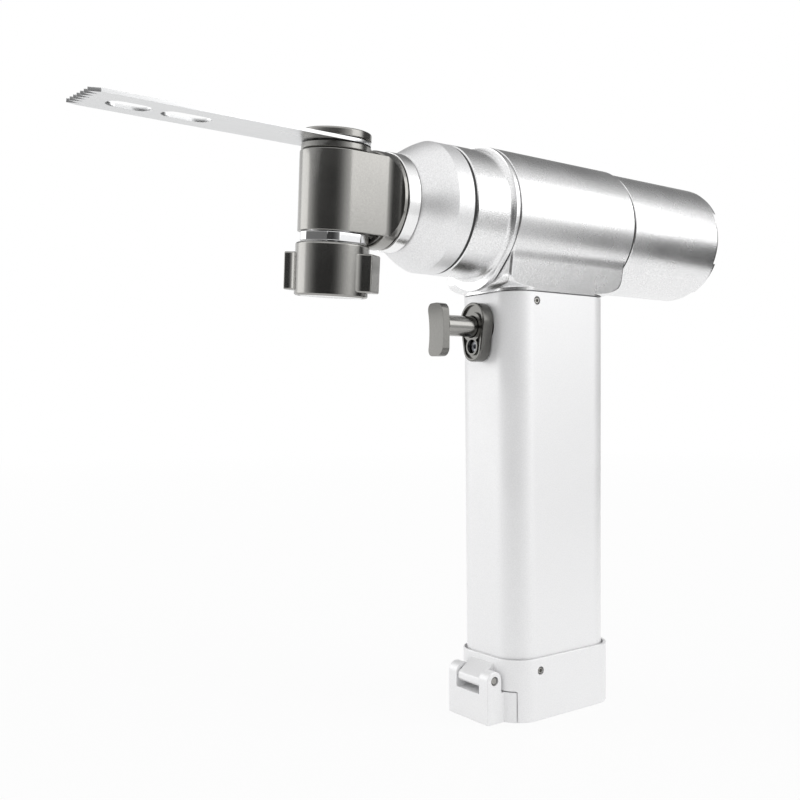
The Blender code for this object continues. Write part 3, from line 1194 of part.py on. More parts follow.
def compartment_levels():
    """Heights of the battery's floor, its cells and the bulkhead above it."""
    case_floor = DOOR_PLATE + FIT
    first = case_floor + CELL_WALL + FIT
    second = first + CELL_LENGTH + FIT
    case_top = second + CELL_LENGTH + FIT
    return case_floor, first, second, case_top


def make_battery():
    """Removable pack: open case, four cells and the lid with its two contacts."""
    case_floor, first, second, case_top = compartment_levels()
    spread = CELL_RADIUS + FIT
    hold_x = spread + CELL_RADIUS + FIT
    hold_y = CELL_RADIUS + FIT
    outer = rounded_rectangle(hold_x + CELL_WALL, hold_y + CELL_WALL, 5.0 * mm)
    inner = rounded_rectangle(hold_x, hold_y, 5.0 * mm - CELL_WALL)
    case = mesh_object("battery_case", prism(outer, case_floor, case_top))
    carve(case, prism(inner, case_floor + CELL_WALL, case_top + mm))
    dress(case, "grey_plastic")
    for level, low in (("lower", first), ("upper", second)):
        for side, x in (("front", -spread), ("rear", spread)):
            end = low + CELL_LENGTH
            cap = 0.6 * mm
            profile = [(low, 0.0), (low, CELL_RADIUS), (end - cap, CELL_RADIUS),
                       (end - cap, 2.6 * mm), (end, 2.6 * mm), (end, 0.0)]
            new_piece(f"battery_cell_{level}_{side}",
                      turned(profile, "Z", SMALL_ROUND, (x, 0.0, 0.0)), "cell_wrap")
    lid_low = case_top + FIT
    lid_high = lid_low + 2.0 * mm
    lid = mesh_object("battery_lid", prism(outer, lid_low, lid_high))
    for x in (-8.0 * mm, 8.0 * mm):
        join(lid, box((x - 2.5 * mm, -3.0 * mm, lid_high - mm), (x + 2.5 * mm, 3.0 * mm,
                                                                 lid_high + 0.6 * mm)))
    dress(lid, "grey_plastic")
    return lid_high + 0.6 * mm


def make_control(lid_top):
    """Bulkhead over the battery, with the control board and the trigger's switch on it."""
    low = lid_top + FIT
    high = low + BULKHEAD_HEIGHT
    plan = rounded_rectangle(INNER_HALF_X - FIT, INNER_HALF_Y - FIT, INNER_CORNER - FIT)
    bulkhead = mesh_object("contact_bulkhead", prism(plan, low, high))
    slot_half = INNER_HALF_Y - 3.0 * mm
    carve(bulkhead, box((BOARD_X - FIT, -slot_half - FIT, high - 2.0 * mm),
                        (BOARD_X + BOARD_THICKNESS + FIT, slot_half + FIT, high + mm)))
    dress(bulkhead, "grey_plastic")
    board_low = high - 2.0 * mm + FIT
    board_top = TRIGGER_AXIS_Z + SWITCH_HEIGHT / 2 + 1.0 * mm
    board = mesh_object("control_board", box((BOARD_X, -slot_half, board_low),
                                             (BOARD_X + BOARD_THICKNESS, slot_half, board_top)))
    z = (board_low + TRIGGER_AXIS_Z - SWITCH_HEIGHT / 2) / 2
    for share, size in zip(CHIP_PLACES, CHIP_HALF_WIDTHS):
        y = share * slot_half
        join(board, box((BOARD_X + BOARD_THICKNESS - 0.5 * mm, y - size, z - size / 2),
                        (BOARD_X + BOARD_THICKNESS + CHIP_HEIGHT, y + size,
                         z + size / 2)))
    dress(board, "board_green")
    switch_start = SWITCH_FRONT
    switch_end = switch_start + SWITCH_LENGTH
    half_z = SWITCH_HEIGHT / 2
    switch = mesh_object("trigger_switch", box(
        (switch_start, -SWITCH_WIDTH / 2, TRIGGER_AXIS_Z - half_z),
        (switch_end, SWITCH_WIDTH / 2, TRIGGER_AXIS_Z + half_z)))
    carve(switch, rod(switch_start - mm, switch_start + 2.0 * mm, STEM_RADIUS - mm, "X",
                      SMALL_ROUND, (0.0, 0.0, TRIGGER_AXIS_Z)))
    dress(switch, "grey_plastic")


# Base collar and door

def collar_outline(inset=0.0):
    return rounded_rectangle(COLLAR_HALF_X - inset, COLLAR_HALF_Y - inset,
                             COLLAR_CORNER - inset, middle_x=COLLAR_MIDDLE_X)


def plate_outline(grow=0.0):
    """Outline of the door's bottom plate, which runs on into the bumper in front."""
    rear = INNER_HALF_X - FIT + grow
    front = DOOR_SPLIT_X - PLATE_TONGUE
    return rounded_rectangle((rear - front) / 2, INNER_HALF_Y - FIT + grow,
                             INNER_CORNER - FIT + grow, middle_x=(rear + front) / 2)


def make_base_collar():
    """Collar round the handle's foot, cut away in front for the door, with its hinge knuckle."""
    collar = mesh_object("base_collar", bevelled_prism(collar_outline, 0.0, COLLAR_TOP,
                                                       0.4 * mm))
    seat = rounded_rectangle(HANDLE_HALF_X + FIT, HANDLE_HALF_Y + FIT, HANDLE_CORNER - 1.2 * mm)
    well = rounded_rectangle(INNER_HALF_X, INNER_HALF_Y, INNER_CORNER)
    carve(collar, prism(seat, HANDLE_FOOT - FIT, COLLAR_TOP + mm),
          prism(well, -mm, HANDLE_FOOT + mm))
    reach = COLLAR_HALF_Y + mm
    carve(collar, box((COLLAR_FRONT - mm, -reach, -mm), (DOOR_SPLIT_X, reach, DOOR_SPLIT_Z)),
          prism(plate_outline(FIT), -mm, DOOR_PLATE + FIT))
    half = KNUCKLE_WIDTH / 2
    crest_x = COLLAR_FRONT + 0.7 * mm
    nose_x = DOOR_BLOCK_FRONT + 0.5 * mm
    profile = [(crest_x, KNUCKLE_CREST_Z), (nose_x + 0.3 * mm, HINGE_Z + 0.6 * mm),
               (nose_x, HINGE_Z), (nose_x, HINGE_Z - 1.3 * mm)]
    profile += arc((HINGE_X, HINGE_Z), HINGE_EAR_RADIUS, 210, 270, 5)
    profile += [(crest_x, HINGE_Z - HINGE_EAR_RADIUS)]
    join(collar, prism(profile, -half, half, "XZ"))
    carve(collar, rod(-half - mm, half + mm, HINGE_PIN_RADIUS + FIT, "Y", TINY_ROUND,
                      (HINGE_X, 0.0, HINGE_Z)))
    carve(collar, side_hole(COLLAR_SCREW_Z, -reach, reach, SIDE_SCREW_RADIUS + FIT))
    carve(collar, rod(INNER_HALF_X - mm, COLLAR_REAR - 0.8 * mm, catch_radius() + FIT, "X",
                      TINY_ROUND, (0.0, 0.0, DOOR_PLATE / 2)))
    return dress(collar, "blasted_aluminium")


def catch_radius():
    return DOOR_PLATE / 2 - 0.6 * mm


def make_door_catch():
    """Sprung ball plunger in the collar's rear wall, which holds the door shut."""
    end = COLLAR_REAR - 0.8 * mm - FIT
    start = INNER_HALF_X
    radius = catch_radius()
    profile = [(end, 0.0), (end, radius), (start + 0.6 * mm, radius),
               (start + 0.2 * mm, radius * 0.75), (start, radius * 0.35), (start, 0.0)]
    return new_piece("door_catch", turned(profile, "X", TINY_ROUND, (0.0, 0.0, DOOR_PLATE / 2)),
                     "polished_steel")


def make_hinge_pin():
    half = DOOR_BLOCK_WIDTH / 2 - 0.3 * mm
    shape = rod(-half, half, HINGE_PIN_RADIUS, "Y", TINY_ROUND, (HINGE_X, 0.0, HINGE_Z))
    return new_piece("door_hinge_pin", shape, "gunmetal")


def make_battery_door(parent):
    """Hinged door: front block with two ears, a bumper below the collar and the bottom plate.

    Its shapes are given in the world's frame and then moved to the hinge.
    """
    away = (-HINGE_X, 0.0, -HINGE_Z)

    def at_hinge(shape):
        bmesh.ops.translate(shape, verts=shape.verts, vec=away)
        return shape

    split = DOOR_SPLIT_X - FIT
    door = mesh_object("battery_door", at_hinge(bevelled_prism(
        collar_outline, 0.0, DOOR_SPLIT_Z - FIT, 0.4 * mm)), parent)
    reach = COLLAR_HALF_Y + mm
    carve(door, at_hinge(box((split, -reach, -mm), (COLLAR_REAR + mm, reach, COLLAR_TOP))))
    plate_object = mesh_object("plate_tool", prism(plate_outline(), 0.0, DOOR_PLATE))
    carve(plate_object, box((COLLAR_FRONT - 20 * mm, -reach, -mm),
                            (split - 0.8 * mm, reach, COLLAR_TOP)))
    join(door, at_hinge(taken_shape(plate_object)))
    ear_rear = HINGE_X + HINGE_EAR_RADIUS
    side = [(COLLAR_FRONT + 1.5 * mm, 0.0), (COLLAR_FRONT + 1.5 * mm, DOOR_SPLIT_Z - FIT),
            (ear_rear, DOOR_SPLIT_Z - FIT)]
    side += arc((HINGE_X, HINGE_Z), HINGE_EAR_RADIUS, 0, 180, 12)
    side += [(DOOR_BLOCK_FRONT, 0.5 * mm), (DOOR_BLOCK_FRONT + 0.5 * mm, 0.0)]
    half = DOOR_BLOCK_WIDTH / 2
    join(door, at_hinge(prism(side, -half, half, "XZ")))
    window = KNUCKLE_WIDTH / 2 + FIT
    carve(door, at_hinge(box((DOOR_BLOCK_FRONT - mm, -window, KNUCKLE_FLOOR),
                             (COLLAR_FRONT - FIT / 2, window, COLLAR_TOP))))
    carve(door, at_hinge(rod(-half - mm, half + mm, HINGE_PIN_RADIUS + FIT, "Y", TINY_ROUND,
                             (HINGE_X, 0.0, HINGE_Z))))
    return dress(door, "blasted_aluminium")


def main():
    clear_scene()
    barrel = (0.0, 0.0, BARREL_AXIS_Z)
    motor_axis = axis_frame("motor_axis", barrel)
    head_axis = axis_frame("head_axis", barrel, (math.radians(HEAD_SWIVEL), 0.0, 0.0))
    spindle_axis = axis_frame("spindle_axis", (HEAD_AXIS_X, 0.0, 0.0), parent=head_axis)
    knob_axis = axis_frame("knob_axis", (0.0, 0.0, 0.0), parent=spindle_axis)
    clamp_axis = axis_frame("clamp_axis", (0.0, 0.0, 0.0), parent=spindle_axis)
    trigger_axis = axis_frame("trigger_axis", (0.0, 0.0, TRIGGER_AXIS_Z))
    door_axis = axis_frame("door_axis", (HINGE_X, 0.0, HINGE_Z))

    make_handle_shell()
    make_side_screws()
    make_saddle_housing()
    make_front_sleeve()
    make_rear_sleeve()
    make_rear_cap()
    make_nose_cone()
    make_bearing_carrier()
    make_drive_bearings()
    make_nose_ring()
    stator_start, stator_end, bell_end = make_motor()
    make_rotor(motor_axis, stator_start, stator_end, bell_end)
    make_drive_line(motor_axis)
    make_head_housing(head_axis)
    make_head_bearings(head_axis)
    make_output_spindle(spindle_axis)
    make_drive_fork(spindle_axis)
    make_saw_blade(spindle_axis)
    make_clamp(clamp_axis)
    make_knob(knob_axis)
    guide_end = make_trigger_guide()
    make_trigger(trigger_axis, guide_end)
    lid_top = make_battery()
    make_control(lid_top)
    make_base_collar()
    make_door_catch()
    make_hinge_pin()
    make_battery_door(door_axis)


if __name__ == "__main__":
    main()
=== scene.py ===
"""Fine surfaces, finishes and studio for a battery oscillating saw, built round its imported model.

The world origin is under the middle of the handle. -X is the blade's direction, +Z is up,
and the barrel runs along X. Sizes are in metres; mm turns millimetres into them.
"""
import json
import math

import bpy
from bpy.props import FloatProperty, FloatVectorProperty, IntProperty, PointerProperty
from bpy.types import Operator, Panel, PropertyGroup
from mathutils import Matrix, Vector


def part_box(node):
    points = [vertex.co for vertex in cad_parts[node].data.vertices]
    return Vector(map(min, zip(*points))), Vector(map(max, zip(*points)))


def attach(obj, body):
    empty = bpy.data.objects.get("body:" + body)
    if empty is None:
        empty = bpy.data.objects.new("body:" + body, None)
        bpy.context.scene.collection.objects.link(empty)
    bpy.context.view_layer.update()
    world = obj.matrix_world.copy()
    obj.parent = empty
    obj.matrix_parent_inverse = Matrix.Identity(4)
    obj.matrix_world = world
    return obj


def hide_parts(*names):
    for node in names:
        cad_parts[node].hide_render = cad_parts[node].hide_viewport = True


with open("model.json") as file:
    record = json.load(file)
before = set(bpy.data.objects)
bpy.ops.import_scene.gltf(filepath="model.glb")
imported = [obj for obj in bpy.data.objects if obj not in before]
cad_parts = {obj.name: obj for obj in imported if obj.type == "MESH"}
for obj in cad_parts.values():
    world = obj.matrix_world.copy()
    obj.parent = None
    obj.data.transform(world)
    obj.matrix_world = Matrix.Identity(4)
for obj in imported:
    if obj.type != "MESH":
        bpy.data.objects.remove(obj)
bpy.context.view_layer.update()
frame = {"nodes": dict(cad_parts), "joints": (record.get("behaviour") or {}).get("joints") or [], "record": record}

bl_info = {
    "name": "Oscillating Bone Saw",
    "version": (1, 0, 0),
    "blender": (4, 5, 0),
    "location": "3D View > Sidebar > Bone Saw",
    "description": "Models and finishes a battery oscillating saw and its studio",
    "category": "Object",
}

mm = 0.001
MERGE = 0.003 * mm
UNIT = {"x": 0, "y": 1, "z": 2}


def low(node, axis):
    """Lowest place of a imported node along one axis."""
    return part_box(node)[0][UNIT[axis]]


def high(node, axis):
    """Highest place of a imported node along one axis."""
    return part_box(node)[1][UNIT[axis]]


def middle(node, axis):
    return (low(node, axis) + high(node, axis)) / 2


def half_of(node, axis):
    """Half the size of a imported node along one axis."""
    return (high(node, axis) - low(node, axis)) / 2


def span(node, axis):
    """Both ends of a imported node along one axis."""
    return low(node, axis), high(node, axis)


def across(node):
    """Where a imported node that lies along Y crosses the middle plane."""
    return (middle(node, "x"), 0.0, middle(node, "z"))


BARREL_Z = middle("rear_sleeve", "z")
HEAD_AXIS_X = middle("bearing_nut", "x")


def radius_of(node):
    """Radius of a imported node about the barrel's axis."""
    return high(node, "z") - BARREL_Z


# Shared places and sizes: the barrel's axis, the trigger's axis, the outside of the front
# sleeve, the radius of the small screws' shanks and of the clamp's bolt, the length of the
# rear cap's skirt, and white
BARREL = (0.0, 0.0, BARREL_Z)
STEM = (0.0, 0.0, middle("trigger_stem", "z"))
SLEEVE_RADIUS = radius_of("nose_cone") + 0.1 * mm
SHANK = 0.8 * mm
BOLT = 2.4 * mm
SKIRT = 3.0 * mm
WHITE = (1.0, 1.0, 1.0, 1.0)


def size(label, text, value):
    """A length that can be changed, given here in metres."""
    return FloatProperty(name=label, description=text, default=value, min=0.0, precision=5,
                         unit="LENGTH")


def tint(label, text, value):
    """A colour that can be changed."""
    return FloatVectorProperty(name=label, description=text, default=value, size=3, min=0.0,
                               max=1.0, subtype="COLOR")


def amount(label, text, value):
    """A plain number that can be changed."""
    return FloatProperty(name=label, description=text, default=value, min=0.0)


def signed(label, text, value, unit="NONE"):
    """A number above or below zero that can be changed."""
    return FloatProperty(name=label, description=text, default=value, unit=unit)


class SawSizes(PropertyGroup):
    """Sizes of the saw's fine shapes."""

    fit: size("Fit", "Gap between pieces that meet", 0.3 * mm)
    edge: size("Edge", "Width of a plain broken edge", 0.2 * mm)
    # The two grooves are widened to hold black rings that paint the shade in the joints' gaps.
    joint_groove: size("Joint groove", "Extra width of the dark groove at the front joint",
                       0.6 * mm)
    rear_groove: size("Rear groove", "Extra width of the dark groove behind the saddle",
                      1.1 * mm)
    round_steps: IntProperty(name="Round steps", description="Facets round a large turned piece",
                             default=160, min=24)
    handle_corner: size("Handle corner", "Radius of the handle's upright corners", 9.1 * mm)
    handle_wall: size("Handle wall", "Thickness of the handle tube", 2.0 * mm)
    neck_corner: size("Neck corner", "Radius of the neck's upright corners", 1.0 * mm)
    neck_flare: size("Neck flare", "How far the neck's sides lean out", 1.5 * mm)
    neck_fillet: size("Neck fillet", "Radius where the neck flows into the barrel", 10.0 * mm)
    front_undercut: size("Front undercut", "Rounding under the neck's front end", 4.5 * mm)
    rear_undercut: size("Rear undercut", "Rounding under the neck's rear end", 6.5 * mm)
    neck_lip: size("Neck lip", "Height of the upright lip at the neck's foot", 0.3 * mm)
    sleeve_wall: size("Sleeve wall", "Thickness of the barrel's sleeves", 2.0 * mm)
    flange_drop: size("Flange drop", "Radius of the flange's lower end", 15.9 * mm)
    flange_thickness: size("Flange", "Thickness of the front sleeve's flange", 1.8 * mm)
    notch_angle: amount("Notch angle", "Width of each notch in the rear rim, degrees", 53.0)
    rim_wall: size("Rim wall", "Thickness of the rear sleeve's rim", 0.9 * mm)
    cap_chamfer: size("Cap chamfer", "Depth of the slope on the rear cap's rim", 0.35 * mm)
    cone_ring: size("Cone ring", "Length of the cone's cylindrical ring", 6.2 * mm)
    cone_tip: size("Cone tip", "Radius of the cone's front end", 14.95 * mm)
    head_radius: size("Head radius", "Half width of the head's bearing tube", 10.6 * mm)
    head_flare: size("Head flare", "Radius of the head's flares", 4.0 * mm)
    head_rim: size("Head rim", "Thickness of the head flange's rim", 1.1 * mm)
    head_shoulder: size("Head shoulder", "Length of the cone that ends the head's block", 4.1 * mm)
    knob_radius: size("Knob radius", "Radius of the clamping knob", 11.0 * mm)
    wing_reach: size("Wing reach", "Distance of a wing's end from the knob's axis", 13.85 * mm)
    wing_thickness: size("Wing thickness", "Thickness of the knob's wings", 8.0 * mm)
    wing_angle: amount("Wing angle", "Turn of the wings from the blade, degrees", 52.0)
    tooth_height: size("Tooth height", "Depth of the blade's teeth", 2.7 * mm)
    tooth_count: IntProperty(name="Teeth", description="Teeth on the blade's end", default=7,
                             min=2)


class SawFinishes(PropertyGroup):
    """Colours and textures of the saw's finishes."""

    blasted: tint("Blasted aluminium", "Colour of the housings", (0.86, 0.86, 0.865))
    turned: tint("Turned aluminium", "Colour of bright turned rings", (0.90, 0.90, 0.90))
    gunmetal: tint("Gunmetal", "Colour of head, knob and trigger", (0.34, 0.335, 0.32))
    trigger: tint("Trigger steel", "Colour of the finger pad and its guide", (0.17, 0.168, 0.16))
    chrome: tint("Chrome", "Colour of polished steel", (0.86, 0.86, 0.87))
    blade: tint("Blade steel", "Colour of the blade", (0.74, 0.745, 0.75))
    bearing: tint("Bearing steel", "Colour of bearings and fork", (0.62, 0.63, 0.65))
    motor: tint("Motor steel", "Colour of motor and springs", (0.30, 0.31, 0.33))
    copper: tint("Winding wire", "Colour of the stator's winding", (0.62, 0.27, 0.12))
    # Also the colour of the black rings that paint the shade in the barrel's joint gaps.
    rubber: tint("Rubber", "Colour of the seal", (0.025, 0.025, 0.026))
    plastic: tint("Plastic", "Colour of inner mouldings", (0.20, 0.21, 0.22))
    board: tint("Board", "Colour of the control board", (0.03, 0.18, 0.08))
    cell: tint("Cell sleeve", "Colour of the battery cells", (0.08, 0.25, 0.46))
    grain: size("Grain", "Size of the blasted grain", 0.35 * mm)


class SawStudio(PropertyGroup):
    """Floor, light and camera."""

    camera_place: FloatVectorProperty(name="Camera", description="Place of the camera",
                                      default=(-0.22642, -0.24217, 0.10403), subtype="XYZ",
                                      unit="LENGTH")
    yaw: amount("Yaw", "Direction of view from +X towards +Y, degrees", 52.73)
    pitch: signed("Pitch", "Rise of the view, degrees", -3.11)
    roll: signed("Roll", "Turn of the picture, degrees", -0.55)
    lens: amount("Lens", "Focal length in millimetres", 42.29)
    shift_x: signed("Shift X", "Sideways shift of the lens", -0.0479)
    shift_y: signed("Shift Y", "Upward shift of the lens", 0.0758)
    floor_tone: tint("Floor", "Colour of the floor", (0.86, 0.86, 0.86))
    table_edge: size("Table edge", "How far the table reaches to the camera's right", 0.33)
    table_front: size("Table front", "How far the table reaches behind the camera", 0.45)
    room: amount("Room", "Plain level of the room's light", 0.9)


# Drawing with Blender's own tools

def deselect():
    """Leave edit mode and select nothing."""
    if bpy.context.object and bpy.context.object.mode != "OBJECT":
        bpy.ops.object.mode_set(mode="OBJECT")
    bpy.ops.object.select_all(action="DESELECT")


def take(piece):
    """Select one piece alone."""
    deselect()
    piece.select_set(True)
    bpy.context.view_layer.objects.active = piece
    return piece


def draw(name, points, closed=True):
    """Draw a line from point to point by extruding one vertex; stays in edit mode."""
    deselect()
    bpy.ops.mesh.primitive_plane_add(size=1 * mm)
    piece = bpy.context.object
    piece.name = name
    piece.data.name = name
    bpy.ops.object.mode_set(mode="EDIT")
    bpy.ops.mesh.select_mode(type="VERT")
    bpy.ops.mesh.select_all(action="SELECT")
    bpy.ops.mesh.merge(type="CENTER")
    points = [Vector(point) for point in points]
    bpy.ops.transform.translate(value=points[0])
    stops = points[1:] + points[:1] if closed else points[1:]
    here = points[0]
    for stop in stops:
        bpy.ops.mesh.extrude_region_move(TRANSFORM_OT_translate={"value": stop - here})
        here = stop
    bpy.ops.mesh.select_all(action="SELECT")
    bpy.ops.mesh.remove_doubles(threshold=MERGE)
    return piece


def close_up():
    """Merge what meets, turn all faces outwards and leave edit mode."""
    bpy.ops.mesh.select_all(action="SELECT")
    bpy.ops.mesh.remove_doubles(threshold=MERGE)
    bpy.ops.mesh.normals_make_consistent(inside=False)
    bpy.ops.object.mode_set(mode="OBJECT")


def turned(name, profile, axis="X", steps=160, centre=(0.0, 0.0, 0.0)):
    """Spin a profile of (place along the axis, radius) points."""
    start = Vector(centre)
    direction = Vector([float(letter == axis) for letter in "XYZ"])
    away = Vector((1.0, 0.0, 0.0) if axis == "Z" else (0.0, 0.0, 1.0))
    points = [start + direction * along + away * radius for along, radius in profile]
    on_axis = profile[0][1] == 0.0 and profile[-1][1] == 0.0
    piece = draw(name, points, closed=not on_axis)
    bpy.ops.mesh.spin(steps=steps, angle=2 * math.pi, center=start, axis=direction)
    close_up()
    return piece


def barrel_turned(name, profile, steps=160):
    return turned(name, profile, "X", steps, BARREL)


def rod(name, start, end, radius, axis="X", centre=(0.0, 0.0, 0.0), steps=48):
    """A plain round bar, mostly as a cutter."""
    return turned(name, [(start, 0.0), (start, radius), (end, radius), (end, 0.0)], axis, steps,
                  centre)


def lift(outline, level, plane):
    """Put a flat outline into space, at a level along the plane's normal."""
    if plane == "XY":
        return [(a, b, level) for a, b in outline]
    if plane == "XZ":
        return [(a, level, b) for a, b in outline]
    return [(level, a, b) for a, b in outline]


def extruded(name, outline, start, end, plane="XY"):
    """Fill a flat outline and extrude it from one level to another."""
    piece = draw(name, lift(outline, start, plane))
    bpy.ops.mesh.edge_face_add()
    push = {"XY": (0, 0, end - start), "XZ": (0, end - start, 0), "YZ": (end - start, 0, 0)}
    bpy.ops.mesh.extrude_region_move(TRANSFORM_OT_translate={"value": push[plane]})
    close_up()
    return piece


def lofted(name, outlines, levels):
    """Draw upright outlines of equal point counts, one over the other, and bridge them."""
    rings = [draw(name, lift(outline, level, "XY")) for outline, level in zip(outlines, levels)]
    piece = take(rings[0])
    for ring in rings[1:]:
        ring.select_set(True)
    bpy.ops.object.join()
    bpy.ops.object.mode_set(mode="EDIT")
    bpy.ops.mesh.select_all(action="SELECT")
    bpy.ops.mesh.bridge_edge_loops()
    bpy.ops.mesh.select_all(action="SELECT")
    bpy.ops.mesh.fill_holes(sides=0)
    close_up()
    return piece


def block(name, start, end):
    """A square cutter between two corners."""
    outline = [(start[0], start[1]), (end[0], start[1]), (end[0], end[1]), (start[0], end[1])]
    return extruded(name, outline, start[2], end[2])


def arc(centre, radius, start, end, steps):
    """Points of a round stretch, angles in degrees."""
    points = []
    for i in range(steps + 1):
        angle = math.radians(start + (end - start) * i / steps)
        points.append((centre[0] + radius * math.cos(angle),
                       centre[1] + radius * math.sin(angle)))
    return points


def rounded_rectangle(half_x, half_y, corner, middle_x=0.0, steps=14):
    """Outline of a rectangle with round corners."""
    points = []
    for side_x, side_y, start in ((1, 1, 0), (-1, 1, 90), (-1, -1, 180), (1, -1, 270)):
        centre = (middle_x + side_x * (half_x - corner), side_y * (half_y - corner))
        points += arc(centre, corner, start, start + 90, steps)
    return points


def apply(piece, step):
    take(piece)
    bpy.ops.object.modifier_apply(modifier=step.name)


def combine(piece, other, operation):
    """Join, cut or limit a piece by another one, which is used up."""
    step = piece.modifiers.new("combine", "BOOLEAN")
    step.operation = operation
    step.solver = "EXACT"
    step.object = other
    apply(piece, step)
    bpy.data.objects.remove(other, do_unlink=True)
    return piece


def cut(piece, *tools):
    for tool in tools:
        combine(piece, tool, "DIFFERENCE")
    return piece


def join(piece, *others):
    for other in others:
        combine(piece, other, "UNION")
    return piece


def bevel(piece, width, segments=3, angle=40.0):
    """Break the sharp edges of a piece."""
    step = piece.modifiers.new("edge", "BEVEL")
    step.width = width
    step.segments = segments
    step.limit_method = "ANGLE"
    step.angle_limit = math.radians(angle)
    step.use_clamp_overlap = True
    apply(piece, step)
    return piece


def head_place(piece, on_spindle=True):
    """Move a piece from the head's own frame, upright at the origin, into its place."""
    take(piece)
    swivel = Vector(frame["joints"][joint_number("blade_swing")]["axis"])
    tilt = math.atan2(-swivel.y, swivel.z)
    piece.rotation_euler = (tilt, 0.0, 0.0)
    piece.location = (HEAD_AXIS_X if on_spindle else 0.0, 0.0, BARREL_Z)
    bpy.ops.object.transform_apply(location=True, rotation=True, scale=True)
    return piece


def joint_number(name):
    for i, joint in enumerate(frame["joints"]):
        if joint["name"] == name:
            return i
    raise RuntimeError("the packed model has no joint " + name)


def settle(piece, body, finish, *nodes, smooth=32.0):
    """Shade, finish and fasten a piece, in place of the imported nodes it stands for."""
    take(piece)
    bpy.ops.object.shade_smooth_by_angle(angle=math.radians(smooth))
    step = piece.modifiers.new("weights", "WEIGHTED_NORMAL")
    step.keep_sharp = True
    apply(piece, step)
    piece.data.materials.clear()
    piece.data.materials.append(finished(finish))
    if nodes:
        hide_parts(*nodes)
    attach(piece, body)
    return piece


# Finishes

class Nodes:
    """A node tree, with the few steps that finishes and studio share."""

    def __init__(self, tree):
        self.tree = tree

    def node(self, kind, *feeds, **values):
        """Add a node, set its values and feed its first inputs."""
        made = self.tree.nodes.new("ShaderNode" + kind)
        for key, value in values.items():
            if key in made.inputs:
                made.inputs[key].default_value = value
            else:
                setattr(made, key, value)
        for number, out in enumerate(feeds):
            self.link(out, made.inputs[number])
        return made

    def link(self, out, to):
        self.tree.links.new(out, to)

    def math(self, operation, first, second):
        return self.node("Math", first, second, operation=operation).outputs[0]

    def spread(self, value, *limits, **more):
        """Map a value by its lowest and highest, and the lowest and highest that it gives."""
        step = self.node("MapRange", **more)
        for name, limit in zip(("From Min", "From Max", "To Min", "To Max"), limits):
            step.inputs[name].default_value = limit
        self.link(value, step.inputs["Value"])
        return step.outputs["Result"]

    def ramp(self, value, stops):
        """A colour that follows a 0 to 1 value, from (value, colour) stops."""
        step = self.node("ValToRGB", value)
        elements = step.color_ramp.elements
        for element, (place, colour) in ((elements[1], stops[-1]), (elements[0], stops[0])):
            element.position = place
            element.color = (*colour, 1.0)
        for place, colour in stops[1:-1]:
            elements.new(place).color = (*colour, 1.0)
        return step.outputs["Color"]


class Finish(Nodes):
    """The node tree of a new material."""

    def __init__(self, name):
        self.material = bpy.data.materials.new(name)
        self.material.use_nodes = True
        super().__init__(self.material.node_tree)
        self.shader = self.tree.nodes["Principled BSDF"]
        self.place = self.node("TexCoord").outputs["Object"]

    def noise(self, scale, detail, stretch):
        """Noise in the object's own space, stretched along its grain."""
        mapping = self.node("Mapping", self.place, Scale=stretch)
        grain = self.node("TexNoise", mapping.outputs["Vector"], Scale=scale, Detail=detail)
        return grain.outputs["Fac"]

    def fill(self, colour, metallic, rough, grain, strength, vary=0.06,
             stretch=(1.0, 1.0, 1.0), depth=0.02):
        """Give the surface its colour, shine and grain, which breaks up the shine."""
        fine = self.noise(1.0 / grain, 3.0, stretch)
        broad = self.noise(60.0, 4.0, stretch) if metallic else self.noise(90.0, 3.0, stretch)
        shades = [(place, [min(1.0, part * factor) for part in colour])
                  for place, factor in ((0.3, 1 - vary), (0.7, 1 + vary))]
        tone = self.ramp(fine if metallic else broad, shades)
        self.shader.inputs["Metallic"].default_value = metallic
        self.link(tone, self.shader.inputs["Base Color"])
        self.link(self.spread(broad, 0.3, 0.7, *rough), self.shader.inputs["Roughness"])
        bump = self.node("Bump", Strength=strength, Distance=depth * mm)
        self.link(fine, bump.inputs["Height"])
        self.link(bump.outputs["Normal"], self.shader.inputs["Normal"])


